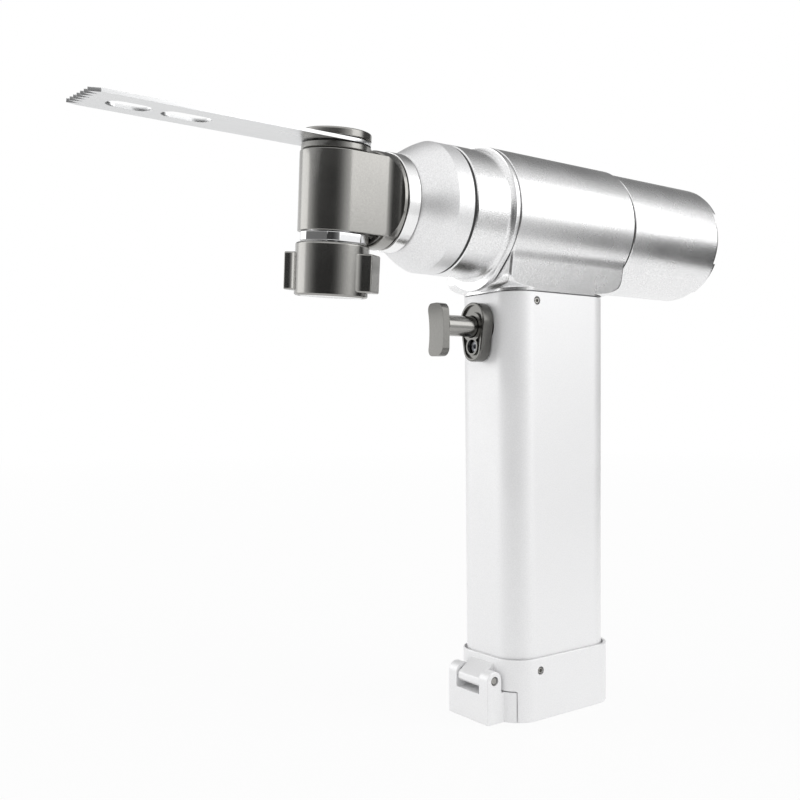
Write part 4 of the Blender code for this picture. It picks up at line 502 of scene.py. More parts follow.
# Each finish has its material slot, its colour's name, its share of bare metal, its range of
# roughness, the size of its grain in mm or 0 for the blasted grain, its bump, and extras. The
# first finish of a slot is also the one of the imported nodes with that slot
FINISHES = {
    "blasted aluminium": ("blasted_aluminium", "blasted", 1.0, (0.24, 0.30), 0, 0.9,
                          {"vary": 0.16, "depth": 0.03}),
    "satin aluminium": ("blasted_aluminium", "blasted", 0.35, (0.40, 0.48), 0, 0.5,
                        {"vary": 0.04}),
    "blasted cone": ("blasted_aluminium", "blasted", 0.6, (0.32, 0.38), 0, 0.9,
                     {"vary": 0.12, "depth": 0.03}),
    "turned aluminium": ("turned_aluminium", "turned", 1.0, (0.16, 0.24), 0.12, 0.12,
                         {"vary": 0.03, "stretch": (12.0, 1.0, 1.0)}),
    "satin gunmetal": ("gunmetal", "gunmetal", 1.0, (0.18, 0.23), 0.3, 0.08, {"vary": 0.08}),
    "trigger steel": ("gunmetal", "trigger", 1.0, (0.20, 0.27), 0.3, 0.08, {"vary": 0.08}),
    "polished steel": ("polished_steel", "chrome", 1.0, (0.04, 0.08), 0.4, 0.01,
                       {"vary": 0.02}),
    "blade steel": ("blade_steel", "blade", 1.0, (0.24, 0.32), 0.25, 0.12,
                    {"vary": 0.05, "stretch": (0.06, 1.0, 1.0)}),
    "bearing steel": ("bearing_steel", "bearing", 1.0, (0.15, 0.22), 0.2, 0.06,
                      {"vary": 0.04}),
    "motor steel": ("motor_steel", "motor", 1.0, (0.30, 0.42), 0.3, 0.15, {}),
    "winding wire": ("copper", "copper", 1.0, (0.28, 0.36), 0.6, 0.5,
                     {"vary": 0.15, "stretch": (0.05, 1.0, 1.0)}),
    # Also the black of the rings that paint the shade in the barrel's joint gaps.
    "seal rubber": ("black_rubber", "rubber", 0.0, (0.55, 0.7), 0.3, 0.3, {"vary": 0.1}),
    "moulded plastic": ("grey_plastic", "plastic", 0.0, (0.42, 0.55), 0.25, 0.3,
                        {"vary": 0.1}),
    "board lacquer": ("board_green", "board", 0.0, (0.3, 0.4), 0.5, 0.1, {"vary": 0.1}),
    "cell sleeve": ("cell_wrap", "cell", 0.0, (0.25, 0.35), 0.8, 0.1, {"vary": 0.1}),
}


def finished(name):
    """The material of a finish, made when it is first asked for."""
    if name not in bpy.data.materials:
        finishes = bpy.context.scene.saw_finishes
        colour, metallic, rough, grain, strength, extras = FINISHES[name][1:]
        Finish(name).fill(getattr(finishes, colour), metallic, rough,
                          grain * mm or finishes.grain, strength, **extras)
    return bpy.data.materials[name]


# Handle

class SAW_OT_handle(Operator):
    """Model the rectangular handle tube and the small screws at its two ends"""

    bl_idname = "saw.handle"
    bl_label = "Handle"

    def execute(self, context):
        sizes = context.scene.saw_sizes
        half_x = high("handle_shell", "x")
        half_y = high("handle_shell", "y")
        foot, top = span("handle_shell", "z")
        wall = sizes.handle_wall
        tube = extruded("handle_tube", rounded_rectangle(half_x, half_y, sizes.handle_corner),
                        foot, top)
        bore = rounded_rectangle(half_x - wall, half_y - wall, sizes.handle_corner - wall)
        bevel(tube, sizes.edge)
        cut(tube, extruded("bore", bore, foot - mm, top + mm))
        neck = half_of("stem_clip", "z") + 2 * sizes.fit
        cut(tube, rod("guide_hole", -half_x - mm, -half_x + wall + mm, neck, "X", STEM))
        thread = 1.3 * mm
        cut(tube, rod("screw_hole", -half_x - mm, -half_x + wall + mm, thread, "X",
                      (0.0, 0.0, middle("guide_screw", "z"))))
        self.screw_holes(tube, half_y)
        settle(tube, "housing", "satin aluminium", "handle_shell")
        for node in ("handle_screw_near", "handle_screw_far", "collar_screw_near",
                     "collar_screw_far"):
            self.screw(node)
        return {"FINISHED"}

    def screw_holes(self, tube, half_y):
        """Countersunk holes at the top, plain holes inside the collar."""
        fit = bpy.context.scene.saw_sizes.fit
        for node, radius in (("handle_screw_near", half_of("handle_screw_near", "z")),
                             ("collar_screw_near", SHANK)):
            cut(tube, rod("hole", -half_y - mm, half_y + mm, radius + fit, "Y", across(node), 32))

    def screw(self, node):
        """A screw with a six-sided socket, along Y from its head inwards."""
        side = 1 if middle(node, "y") > 0 else -1
        end, face = span(node, "y")[::side]
        head = half_of(node, "z")
        centre = across(node)
        depth = side * 1.2 * mm
        edge = 0.25 * mm
        profile = [(face, 0.0), (face, head - edge), (face - side * edge, head),
                   (face - depth, head), (face - depth - side * 0.3 * mm, SHANK), (end, SHANK),
                   (end, 0.0)]
        screw = turned(node + "_fine", profile, "Y", 40, centre)
        socket = arc((centre[0], centre[2]), 0.65 * mm, 0, 300, 5)
        cut(screw, extruded("socket", socket, face - side * 0.7 * mm, face + side * mm, "XZ"))
        settle(screw, "housing", "satin gunmetal", node)


# Saddle

class SAW_OT_saddle(Operator):
    """Model the saddle casting: barrel ring, neck with its fillets, and spigot"""

    bl_idname = "saw.saddle"
    bl_label = "Saddle"

    def execute(self, context):
        sizes = context.scene.saw_sizes
        radius = radius_of("saddle_housing")
        front, rear = span("saddle_housing", "x")
        half_y = high("handle_shell", "y")
        half_x = high("handle_shell", "x")
        foot = high("handle_shell", "z") + sizes.fit
        fillet = sizes.neck_fillet
        side = half_y + sizes.neck_flare + fillet
        fillet_start = BARREL_Z - math.sqrt((radius + fillet) ** 2 - side ** 2)
        lip = foot + sizes.neck_lip
        start_rise = fillet * sizes.neck_flare / (fillet_start - foot)
        fillet_end = fillet * 0.55
        levels = [foot]
        levels += [lip + sizes.rear_undercut * (1 - math.cos(math.radians(a)))
                   for a in range(6, 91, 6)]
        levels += [fillet_start + fillet_end * i / 12 for i in range(13)]
        neck_top = BARREL_Z - radius * 0.45
        levels.append(neck_top)
        levels.sort()
        outlines = []
        for z in levels:
            lean = sizes.neck_flare * min(1.0, (z - foot) / (fillet_start + start_rise - foot))
            rise = min(max(start_rise, z - fillet_start), fillet_end)
            width = half_y + lean + fillet - math.sqrt(fillet ** 2 - rise ** 2)
            ends = ((rear, half_x, 1, self.drawn_in(lip, z, sizes.rear_undercut, rear - half_x)),
                    (front, -half_x, -1,
                     self.drawn_in(lip, z, sizes.front_undercut, -half_x - front)))
            outlines.append(self.outline(sizes, ends, width))
        neck = lofted("saddle", outlines, levels)
        edge = 0.25 * mm
        ring = barrel_turned("ring", [(front, 0.0), (front, radius - edge),
                                      (front + edge, radius), (rear - edge, radius),
                                      (rear, radius - edge), (rear, 0.0)], 192)
        join(neck, ring)
        wall = sizes.handle_wall
        corner = sizes.handle_corner
        spigot_foot = low("saddle_housing", "z")
        inner_x = half_x - wall - sizes.fit
        inner_y = half_y - wall - sizes.fit
        spigot = rounded_rectangle(inner_x, inner_y, corner - wall - sizes.fit)
        join(neck, extruded("spigot", spigot, spigot_foot, foot + 2 * mm))
        bore = radius_of("front_sleeve")
        sleeve = SLEEVE_RADIUS + sizes.fit
        cut(neck, rod("bore", front - mm, rear + mm, min(bore, sleeve), "X",
                      BARREL, sizes.round_steps))
        duct_wall = 2.2 * mm
        duct = rounded_rectangle(inner_x - duct_wall, inner_y - duct_wall,
                                 corner - wall - duct_wall)
        inside_barrel = BARREL_Z - 16 * mm
        cut(neck, extruded("duct", duct, spigot_foot - mm, inside_barrel))
        screw = "handle_screw_near"
        cut(neck, rod("hole", -half_y, half_y, SHANK + sizes.fit, "Y",
                      across(screw), 32))
        settle(neck, "housing", "blasted aluminium", "saddle_housing",
               smooth=24.0)
        return {"FINISHED"}

    def drawn_in(self, lip, z, undercut, overhang):
        """Share of the way from the neck's end to the handle's, by the round under it."""
        drop = max(0.0, lip + undercut - z)
        depth = undercut - math.sqrt(max(0.0, undercut ** 2 - drop ** 2))
        return min(1.0, depth / overhang)

    def outline(self, sizes, ends, width):
        """Near-square corners, which pass into the handle's round ones at the foot."""
        points = []
        for end, handle_end, way, share in ends:
            face = end + (handle_end - end) * share
            corner = sizes.neck_corner + (sizes.handle_corner - sizes.neck_corner) * share ** 2
            for side, start in ((-way, 270 if way > 0 else 90), (way, 0 if way > 0 else 180)):
                centre = (face - way * corner, side * (width - corner))
                points += arc(centre, corner, start, start + 90, 10)
        return points


# Barrel

class SAW_OT_barrel(Operator):
    """Model the two sleeves of the barrel and its rear cap"""

    bl_idname = "saw.barrel"
    bl_label = "Barrel"

    def execute(self, context):
        self.front_sleeve(context.scene.saw_sizes)
        self.rear_sleeve(context.scene.saw_sizes)
        self.rear_cap(context.scene.saw_sizes)
        # Painted shade: black rings in the two joint gaps stand for their shadows.
        self.painted_shade_rings(context.scene.saw_sizes)
        return {"FINISHED"}

    def front_sleeve(self, sizes):
        # The sleeve starts back by the groove that holds a black painted-shade ring.
        start = low("front_sleeve", "x") + sizes.joint_groove
        end = high("front_sleeve", "x")
        radius = SLEEVE_RADIUS
        bore = radius - sizes.sleeve_wall
        collar = radius_of("front_sleeve")
        face = low("saddle_housing", "x") - sizes.fit
        back = face - sizes.flange_thickness
        flare = collar - radius
        profile = [(start, bore), (start, radius - 0.35 * mm), (start + 0.35 * mm, radius)]
        profile += arc((back - flare, radius + flare), flare, -90, 0, 10)
        profile += [(back + mm, collar - 0.2 * mm), (back + mm, radius), (end, radius),
                    (end, bore)]
        sleeve = barrel_turned("front_tube", profile, sizes.round_steps)
        foot = low("front_sleeve", "z")
        drop = sizes.flange_drop
        lower_z = foot + drop
        slope = math.degrees(math.asin((collar - drop) / (BARREL_Z - lower_z)))
        outline = arc((0.0, BARREL_Z), collar, -slope, 180 + slope, 110)
        outline += arc((0.0, lower_z), drop, 180 + slope, 360 - slope, 60)
        flange = extruded("flange", outline, back, face, "YZ")
        bevel(flange, 0.4 * mm)
        cut(flange, rod("flange_bore", back - mm, face + mm, radius - 0.4 * mm, "X",
                        BARREL, sizes.round_steps))
        join(sleeve, flange)
        settle(sleeve, "housing", "blasted aluminium", "front_sleeve")

    def rear_sleeve(self, sizes):
        start, end = span("rear_sleeve", "x")
        radius = radius_of("rear_sleeve")
        seat = SLEEVE_RADIUS
        bore = seat - sizes.sleeve_wall
        # The shoulder stands back by the groove that holds a black painted-shade ring.
        shoulder = high("saddle_housing", "x") + sizes.fit + sizes.rear_groove
        rim = radius - sizes.rim_wall
        rim_start = low("rear_cap", "x") + SKIRT - sizes.fit
        edge = 0.25 * mm
        profile = [(start, bore), (start, seat), (shoulder, seat), (shoulder, radius - edge),
                   (shoulder + edge, radius), (end - 1.6 * mm, radius),
                   (end - 0.1 * mm, radius - 0.42 * mm), (end, radius - 0.52 * mm), (end, rim),
                   (rim_start, rim), (rim_start, bore)]
        sleeve = barrel_turned("rear_tube", profile, sizes.round_steps)
        half = math.radians(sizes.notch_angle / 2)
        notch_depth = 2.3 * mm
        inner = rim - mm
        outer = radius + mm
        corners = ((inner, half), (outer, half), (outer * 1.15, 0.0), (outer, -half),
                   (inner, -half), (inner, 0.0))
        for i in range(4):
            turn = math.pi / 2 * i
            outline = [(reach * math.cos(turn + angle), BARREL_Z + reach * math.sin(turn + angle))
                       for reach, angle in corners]
            cut(sleeve, extruded("notch", outline, end - notch_depth, end + mm, "YZ"))
        settle(sleeve, "housing", "blasted aluminium", "rear_sleeve")

    def painted_shade_rings(self, sizes):
        """Black rubber-finished rings in the grooves at the barrel's two joints, as painted shade: they stand for
        the shadow in the gaps.
        """
        radius = SLEEVE_RADIUS
        front = low("front_sleeve", "x")
        rear = high("saddle_housing", "x") + sizes.fit
        play = 0.05 * mm
        rings = (("front_joint_seal", front, sizes.joint_groove, radius - sizes.sleeve_wall,
                  radius),
                 ("rear_joint_seal", rear, sizes.rear_groove, radius,
                  radius_of("rear_sleeve")))
        for name, edge, groove, inner, outer in rings:
            start = edge - sizes.fit
            end = edge + groove
            side = outer - 0.45 * mm
            profile = [(start + play, inner + play), (start + play, side),
                       ((start + end) / 2, outer - 0.3 * mm), (end - play, side),
                       (end - play, inner + play)]
            ring = barrel_turned(name, profile, sizes.round_steps)
            # Painted shade: a black ring in the widened gap stands for the gap's shadow.
            settle(ring, "housing", "seal rubber")

    def rear_cap(self, sizes):
        start = low("rear_cap", "x") + SKIRT
        wall = 2.0 * mm
        end = high("rear_cap", "x")
        rim = radius_of("rear_cap")
        skirt = SLEEVE_RADIUS - sizes.sleeve_wall - sizes.fit
        slope = rim - sizes.cap_chamfer
        dish = end - 0.35 * mm
        edge = 0.15 * mm
        floor = start + 0.6 * mm
        profile = [(dish, 0.0), (dish, slope - 2.0 * mm), (end, slope - 1.6 * mm)]
        profile += arc((end - edge, slope - edge), edge, 0, 72, 5)
        profile += [(high("rear_sleeve", "x") - 1.1 * mm, rim), (start, rim), (start, skirt),
                    (start - SKIRT, skirt), (start - SKIRT, skirt - wall),
                    (floor, skirt - wall), (floor, 0.0)]
        cap = barrel_turned("end_cap", profile, sizes.round_steps)
        settle(cap, "housing", "turned aluminium", "rear_cap")


# Nose

class SAW_OT_nose(Operator):
    """Model the cone behind the head, its bright ring and its seal"""

    bl_idname = "saw.nose"
    bl_label = "Nose"

    def execute(self, context):
        sizes = context.scene.saw_sizes
        tip_x = low("nose_cone", "x")
        ring = radius_of("nose_cone")
        rear = low("front_sleeve", "x") - sizes.fit
        skirt = ring + 0.1 * mm - sizes.sleeve_wall - sizes.fit
        ring_start = rear - sizes.cone_ring
        tip = sizes.cone_tip
        mouth = 12.2 * mm
        profile = [(tip_x, mouth), (tip_x, tip - 0.25 * mm), (tip_x + 0.2 * mm, tip)]
        for i in range(1, 24):
            share = i / 24
            bulge = share + 0.09 * share * math.sin(math.pi * share)
            profile.append((tip_x + (ring_start - tip_x) * share, tip + (ring - tip) * bulge))
        carrier = half_of("bearing_carrier", "z") + sizes.fit
        carrier_start = low("bearing_carrier", "x") - sizes.fit
        bearing = radius_of("drive_bearing_front") + sizes.fit
        bearing_start = low("drive_bearing_front", "x") - sizes.fit
        profile += [(ring_start, ring), (rear - 0.35 * mm, ring), (rear, ring - 0.35 * mm),
                    (rear, skirt), (high("nose_cone", "x"), skirt),
                    (high("nose_cone", "x"), carrier), (carrier_start, carrier),
                    (carrier_start, bearing), (bearing_start, bearing), (bearing_start, mouth)]
        cone = barrel_turned("front_cone", profile, sizes.round_steps)
        settle(cone, "housing", "blasted cone", "nose_cone", smooth=20.0)
        self.ring(sizes, mouth)
        return {"FINISHED"}

    def ring(self, sizes, mouth):
        start, end = span("nose_ring", "x")
        radius = radius_of("nose_ring")
        edge = 0.3 * mm
        seat = high("nose_seal", "x") + sizes.fit
        seat_radius = radius_of("nose_seal") + sizes.fit
        profile = [(seat, mouth), (seat, seat_radius), (start, seat_radius)]
        profile += arc((start + edge, radius - edge), edge, 180, 90, 6)
        profile += arc((end - edge, radius - edge), edge, 90, 0, 6)
        profile += [(end, mouth)]
        ring = barrel_turned("cone_ring", profile, sizes.round_steps)
        settle(ring, "housing", "turned aluminium", "nose_ring")
        start, end = span("nose_seal", "x")
        radius = radius_of("nose_seal")
        profile = [(start, mouth), (start, radius - 0.1 * mm), (start + 0.1 * mm, radius),
                   (end, radius), (end, mouth)]
        seal = barrel_turned("head_seal", profile, 120)
        settle(seal, "housing", "seal rubber", "nose_seal")


# Saw head

class SAW_OT_head(Operator):
    """Model the head block with its flares and flange, and the six-sided bearing nut"""

    bl_idname = "saw.head"
    bl_label = "Saw head"

    def execute(self, context):
        sizes = context.scene.saw_sizes
        radius = sizes.head_radius
        flare = sizes.head_flare
        flange_rear = low("nose_seal", "x") - sizes.fit
        rim_front = flange_rear - sizes.head_rim
        flange_radius = 14.6 * mm
        top = 11.75 * mm
        bottom = -11.1 * mm
        flare_y = radius + flare
        far = arc((rim_front - flare, flare_y), flare, 0, -90, 24)
        front = arc((HEAD_AXIS_X, 0.0), radius, 90, 270, 96)
        near = [(x, -y) for x, y in reversed(far)]
        plan = [(flange_rear, -flare_y), (flange_rear, flare_y)] + far + front + near
        edge = 0.4 * mm
        neck_front = -68.6 * mm
        neck_round = 1.4 * mm
        profile = [(neck_front, 0.0)]
        profile += arc((neck_front + neck_round, flange_radius - neck_round), neck_round, 180,
                       90, 10)
        profile += [(flange_rear - edge, flange_radius), (flange_rear, flange_radius - edge),
                    (flange_rear, 0.0)]
        flange = turned("head_flange", profile, "X", sizes.round_steps)
        combine(flange, extruded("flange_plan", plan, -17 * mm, 17 * mm), "INTERSECT")
        head = extruded("head_block", plan, bottom, top)
        bevel(head, 0.35 * mm, 3, 60.0)
        corner = math.hypot(radius, top)
        cut(head, self.past_shoulder(flange_radius, corner, rim_front, sizes))
        join(head, flange)
        spigot = 11.9 * mm
        join(head, rod("spigot", flange_rear - mm, high("head_housing", "x"), spigot, "X",
                       steps=96))
        bore = 8.4 * mm
        mouth = 6.6 * mm
        roof = top - 1.2 * mm
        cut(head, rod("shaft_bore", HEAD_AXIS_X, high("head_housing", "x") + mm, bore, "X",
                      steps=96))
        cut(head, turned("tall_bore", [(bottom - mm, 0.0), (bottom - mm, bore), (roof, bore),
                                       (roof, mouth), (top + mm, mouth), (top + mm, 0.0)],
                         "Z", 96, (HEAD_AXIS_X, 0.0, 0.0)))
        head_place(head, on_spindle=False)
        settle(head, "saw_head", "satin gunmetal", "head_housing")
        self.nut(sizes)
        return {"FINISHED"}

    def past_shoulder(self, flange_radius, corner, rim_front, sizes):
        """What the block must lose behind, outside the cone that runs down to the flange."""
        inside = flange_radius - 0.1 * mm
        shoulder = rim_front - sizes.head_shoulder
        clear = 24 * mm
        behind = rim_front + 4 * mm
        ring = [(shoulder, corner), (rim_front + 0.3 * mm, inside), (behind, inside),
                (behind, clear), (shoulder, clear)]
        return turned("outside", ring, "X", sizes.round_steps)

    def nut(self, sizes):
        top = -11.4 * mm
        height = 2.5 * mm
        flat = 9.68 * mm
        corner = 10.3 * mm
        half = math.degrees(math.acos(flat / corner))
        outline = []
        for i in range(6):
            facing = 60 * i + 30
            outline += arc((0.0, 0.0), corner, facing + half, facing + 60 - half, 6)
        nut = extruded("head_nut", outline, top - height, top)
        bevel(nut, 0.15 * mm, 2, 20.0)
        lower = -10.25 * mm - sizes.fit
        thread = 8.1 * mm
        hole = 5.0 * mm
        join(nut, rod("thread", top - mm, lower, thread, "Z", steps=96))
        cut(nut, rod("hole", top - height - mm, lower + mm, hole, "Z", steps=64))
        settle(head_place(nut), "saw_head", "polished steel", "bearing_nut", smooth=20.0)


# Blade and clamp. Shapes in the head's own frame, upright about its axis

class SAW_OT_blade(Operator):
    """Model the blade, the clamp discs above and below it, and the draw bolt's head"""

    bl_idname = "saw.blade"
    bl_label = "Blade and clamp"

    disc: size("Clamp disc", "Radius of the clamp discs", 10.25 * mm)
    disc_bottom: size("Disc bottom", "Height of the lower disc's underside", 12.05 * mm)
    disc_top: size("Disc top", "Height of the lower disc's face", 13.9 * mm)
    thickness: size("Blade thickness", "Thickness of the blade", 1.0 * mm)

    def execute(self, context):
        sizes = context.scene.saw_sizes
        bottom = self.disc_top + sizes.fit
        top = bottom + self.thickness
        self.spindle(sizes, top)
        self.blade(sizes, bottom, top)
        self.clamp(sizes, top + sizes.fit)
        return {"FINISHED"}

    def pin_places(self):
        """Places of the four index pins round the head's axis."""
        return [(x, y, 0.0) for x, y in arc((0.0, 0.0), 6.6 * mm, 45, 315, 3)]

    def spindle(self, sizes, blade_top):
        edge = 0.25 * mm
        shaft = 4.7 * mm
        pocket = 3.9 * mm
        bore = BOLT + sizes.fit
        foot = -13.9 * mm
        pocket_top = -3 * mm
        profile = [(self.disc_top, bore), (self.disc_top, self.disc - edge),
                   (self.disc_top - edge, self.disc), (self.disc_bottom + edge, self.disc),
                   (self.disc_bottom, self.disc - edge), (self.disc_bottom, shaft),
                   (foot, shaft), (foot, pocket), (pocket_top, pocket), (pocket_top, bore)]
        spindle = turned("blade_spindle", profile, "Z", 128)
        radius = 0.9 * mm
        slope = 0.3 * mm
        for place in self.pin_places():
            pin = [(self.disc_top - mm, 0.0), (self.disc_top - mm, radius),
                   (blade_top - slope, radius), (blade_top, radius - slope), (blade_top, 0.0)]
            join(spindle, turned("pin", pin, "Z", 32, place))
        settle(head_place(spindle), "output", "satin gunmetal", "output_spindle")

    def blade(self, sizes, bottom, top):
        half = 10.1 * mm
        reach = HEAD_AXIS_X - low("saw_blade", "x")
        pitch = 2 * half / sizes.tooth_count
        root = -reach + sizes.tooth_height
        outline = []
        for i in range(sizes.tooth_count):
            start = half - i * pitch
            outline += [(root, start), (-reach, start - pitch * 0.33),
                        (-reach, start - pitch * 0.37), (root, start - pitch * 0.92)]
        outline.append((root, -half))
        outline += arc((0.0, 0.0), half, -90, 90, 72)
        blade = extruded("blade", outline, bottom, top)
        half_window = 4.0 * mm
        window_corner = 3.6 * mm
        for start, end in ((-67.0 * mm, -55.6 * mm), (-52.6 * mm, -39.3 * mm)):
            window = rounded_rectangle((end - start) / 2, half_window, window_corner,
                                       (start + end) / 2)
            cut(blade, extruded("window", window, bottom - mm, top + mm))
        cut(blade, rod("hole", bottom - mm, top + mm, 2.7 * mm, "Z"))
        for place in self.pin_places():
            cut(blade, rod("pin_hole", bottom - mm, top + mm, 1.2 * mm, "Z", place, 32))
        bevel(blade, 0.08 * mm, 2, 50.0)
        settle(head_place(blade), "output", "blade steel", "saw_blade")

    def clamp(self, sizes, bottom):
        top = bottom + 2.2 * mm
        edge = 0.55 * mm
        bore = BOLT + sizes.fit
        sink = top - 1.2 * mm - sizes.fit
        profile = [(bottom, bore), (bottom, self.disc - 0.2 * mm), (bottom + 0.2 * mm, self.disc)]
        profile += arc_up(top, self.disc, edge)
        profile += [(top, 4.5 * mm), (sink, 4.5 * mm), (sink, bore)]
        cap = turned("clamp_disc", profile, "Z", 128)
        settle(head_place(cap), "clamp", "satin gunmetal", "clamp_cap")
        foot = -26.35 * mm
        collar = -13.55 * mm
        rest = top - 1.2 * mm
        profile = [(top, 0.0), (top, 4.0 * mm), (top - 0.2 * mm, 4.2 * mm), (rest, 4.2 * mm),
                   (rest, BOLT), (collar + 0.9 * mm, BOLT), (collar + 0.9 * mm, 3.6 * mm),
                   (collar, 3.6 * mm), (collar, BOLT), (foot, BOLT), (foot, 0.0)]
        bolt = turned("clamp_bolt", profile, "Z", 64)
        socket = arc((0.0, 0.0), 1.5 * mm, 0, 300, 5)
        cut(bolt, extruded("socket", socket, top - 0.9 * mm, top + mm))
        settle(head_place(bolt), "clamp", "polished steel", "draw_bolt")


def arc_up(top, radius, edge):
    """Rounded upper edge of a turned disc, from its side to its top, as (height, radius)."""
    return [(z, r) for r, z in arc((radius - edge, top - edge), edge, 0, 90, 6)]


# Knob

class SAW_OT_knob(Operator):
    """Model the winged clamping knob and the bright plate under it"""

    bl_idname = "saw.knob"
    bl_label = "Clamping knob"

    top: signed("Top", "Height of the knob's top", -14.3 * mm, "LENGTH")
    bottom: signed("Bottom", "Height of the knob's underside", -29.75 * mm, "LENGTH")

    def execute(self, context):
        sizes = context.scene.saw_sizes
        radius = sizes.knob_radius
        bore = BOLT + sizes.fit
        plate = 9.6 * mm
        pocket = self.bottom + 1.2 * mm + sizes.fit
        edge = 0.7 * mm
        profile = [(self.top, bore)]
        profile += reversed(arc_up(self.top, radius, edge))
        profile += [(2 * self.bottom - z, r) for z, r in arc_up(self.bottom, radius, edge)]
        profile += [(self.bottom, plate + sizes.fit), (pocket, plate + sizes.fit),
                    (pocket, bore)]
        knob = turned("clamping_knob", profile, "Z", 128)
        wing_foot = -28.2 * mm
        wing_top = -17.0 * mm
        wings = extruded("wings", self.plan(sizes), wing_foot, wing_top)
        bevel(wings, 0.5 * mm, 4, 50.0)
        cut(wings, rod("inside", self.bottom, self.top, radius - 2 * mm, "Z", steps=96))
        join(knob, wings)
        settle(head_place(knob), "knob", "satin gunmetal", "wing_knob")
        foot = self.bottom
        crown = 0.25 * mm
        face = plate - 0.4 * mm
        profile = [(pocket - sizes.fit, 0.0), (pocket - sizes.fit, plate),
                   (foot + crown, plate), (foot, face)]
        profile += [(foot - crown * math.sin(math.radians(15 * i)),
                     face * math.cos(math.radians(15 * i))) for i in range(1, 6)]
        profile.append((foot - crown, 0.0))
        disc = turned("knob_plate", profile, "Z", 96)
        settle(head_place(disc), "knob", "turned aluminium", "knob_end_plate")
        return {"FINISHED"}

    def plan(self, sizes):
        """Circle with two square wings, whose roots are rounded."""
        fillet = 3.0 * mm
        radius = sizes.knob_radius
        half = sizes.wing_thickness / 2
        root_y = half + fillet
        root_x = math.sqrt((radius + fillet) ** 2 - root_y ** 2)
        lean = math.degrees(math.atan2(root_y, root_x))
        upper = arc((root_x, root_y), fillet, 180 + lean, 270, 16) + [(sizes.wing_reach, half)]
        half_plan = [(x, -y) for x, y in upper] + upper[::-1]
        half_plan += arc((0.0, 0.0), radius, lean, 180 - lean, 48)[1:-1]
        plan = half_plan + [(-x, -y) for x, y in half_plan]
        turn = Matrix.Rotation(math.radians(-sizes.wing_angle), 2)
        return [tuple(turn @ Vector(point)) for point in plan]


# Trigger

class SAW_OT_trigger(Operator):
    """Model the finger pad, its stem, and the egg-shaped guide with its screw"""

    bl_idname = "saw.trigger"
    bl_label = "Trigger"

    def execute(self, context):
        sizes = context.scene.saw_sizes
        self.guide(sizes)
        self.pad(sizes)
        return {"FINISHED"}

    def outline(self, inset):
        """Egg outline of the guide: a wide circle above a narrower one."""
        wide = high("trigger_guide", "y") - inset
        narrow = 4.6 * mm - inset
        upper_z = high("trigger_guide", "z") - wide - inset
        lower_z = low("trigger_guide", "z") + narrow + inset
        slope = math.degrees(math.asin((wide - narrow) / (upper_z - lower_z)))
        points = arc((0.0, upper_z), wide, -slope, 180 + slope, 60)
        return points + arc((0.0, lower_z), narrow, 180 + slope, 360 - slope, 36)

    def guide(self, sizes):
        front = low("trigger_guide", "x")
        back = low("handle_shell", "x") - sizes.fit
        stem = half_of("trigger_stem", "z")
        screw = half_of("guide_screw", "z")
        screw_z = middle("guide_screw", "z")
        guide = extruded("guide", self.outline(0.0), front, back, "YZ")
        bevel(guide, 0.45 * mm, 4, 50.0)
        groove = extruded("groove", self.outline(0.9 * mm), front - mm, front + 0.8 * mm, "YZ")
        at_screw = (0.0, 0.0, screw_z)
        cut(groove, rod("boss", front - 2 * mm, front + 2 * mm, stem + sizes.fit + 1.2 * mm, "X",
                        STEM, 64))
        cut(groove, rod("boss", front - 2 * mm, front + 2 * mm, screw + sizes.fit + 0.6 * mm,
                        "X", at_screw, 48))
        cut(guide, groove)
        end = high("trigger_guide", "x")
        neck = stem + sizes.fit + 1.8 * mm
        join(guide, rod("neck", back - mm, end, neck, "X", STEM, 64))
        cut(guide, rod("bore", front - mm, end + mm, stem + sizes.fit, "X", STEM, 64))
        cut(guide, rod("sink", front - mm, front + 2.6 * mm, screw + sizes.fit, "X", at_screw))
        cut(guide, rod("hole", front - mm, back + mm, screw * 0.5 + sizes.fit, "X", at_screw))
        settle(guide, "housing", "trigger steel", "trigger_guide")
        start, end = span("guide_screw", "x")
        profile = [(start, 0.0), (start, screw - 0.2 * mm), (start + 0.2 * mm, screw),
                   (start + mm, screw), (start + mm, screw * 0.5), (end, screw * 0.5),
                   (end, 0.0)]
        fixing = turned("guide_fixing", profile, "X", 40, at_screw)
        socket = arc((0.0, screw_z), 0.9 * mm, 0, 300, 5)
        cut(fixing, extruded("socket", socket, start - mm, start + 0.7 * mm, "YZ"))
        settle(fixing, "housing", "motor steel", "guide_screw")

    def pad(self, sizes):
        front = low("trigger_pad", "x")
        back = front + 3.1 * mm
        foot, top = span("trigger_pad", "z")
        half = high("trigger_pad", "y")
        hollow = 0.9 * mm
        crown = 0.25 * mm
        tall = (top - foot) / 2
        centre = (top + foot) / 2
        rising = [-1 + 2 * i / 32 for i in range(33)]
        side = [(front + hollow * (1 - share ** 2), centre + tall * share) for share in rising]
        side += [(back + crown * (1 - share ** 2), centre + tall * share)
                 for share in reversed(rising)]
        pad = extruded("finger_pad", side, -half, half, "XZ")
        front_view = rounded_rectangle(half, tall, 2.6 * mm, steps=10)
        front_view = [(y, centre + z) for y, z in front_view]
        combine(pad, extruded("pad_outline", front_view, front - 2 * mm, back + 2 * mm, "YZ"),
                "INTERSECT")
        bevel(pad, 0.7 * mm, 4, 50.0)
        stem = half_of("trigger_stem", "z")
        seat = back - 0.9 * mm
        cut(pad, rod("seat", seat, back + 2 * mm, stem * 0.7 + sizes.fit, "X", STEM))
        settle(pad, "trigger", "trigger steel", "trigger_pad")
        start = low("trigger_stem", "x")
        shoulder = high("trigger_pad", "x") + sizes.fit
        end = high("trigger_stem", "x")
        profile = [(start, 0.0), (start, stem * 0.7), (shoulder, stem * 0.7),
                   (shoulder, stem - 0.2 * mm), (shoulder + 0.2 * mm, stem),
                   (end - 0.3 * mm, stem), (end, stem - 0.3 * mm), (end, 0.0)]
        shaft = turned("trigger_shaft", profile, "X", 72, STEM)
        settle(shaft, "trigger", "satin gunmetal", "trigger_stem")


# Base

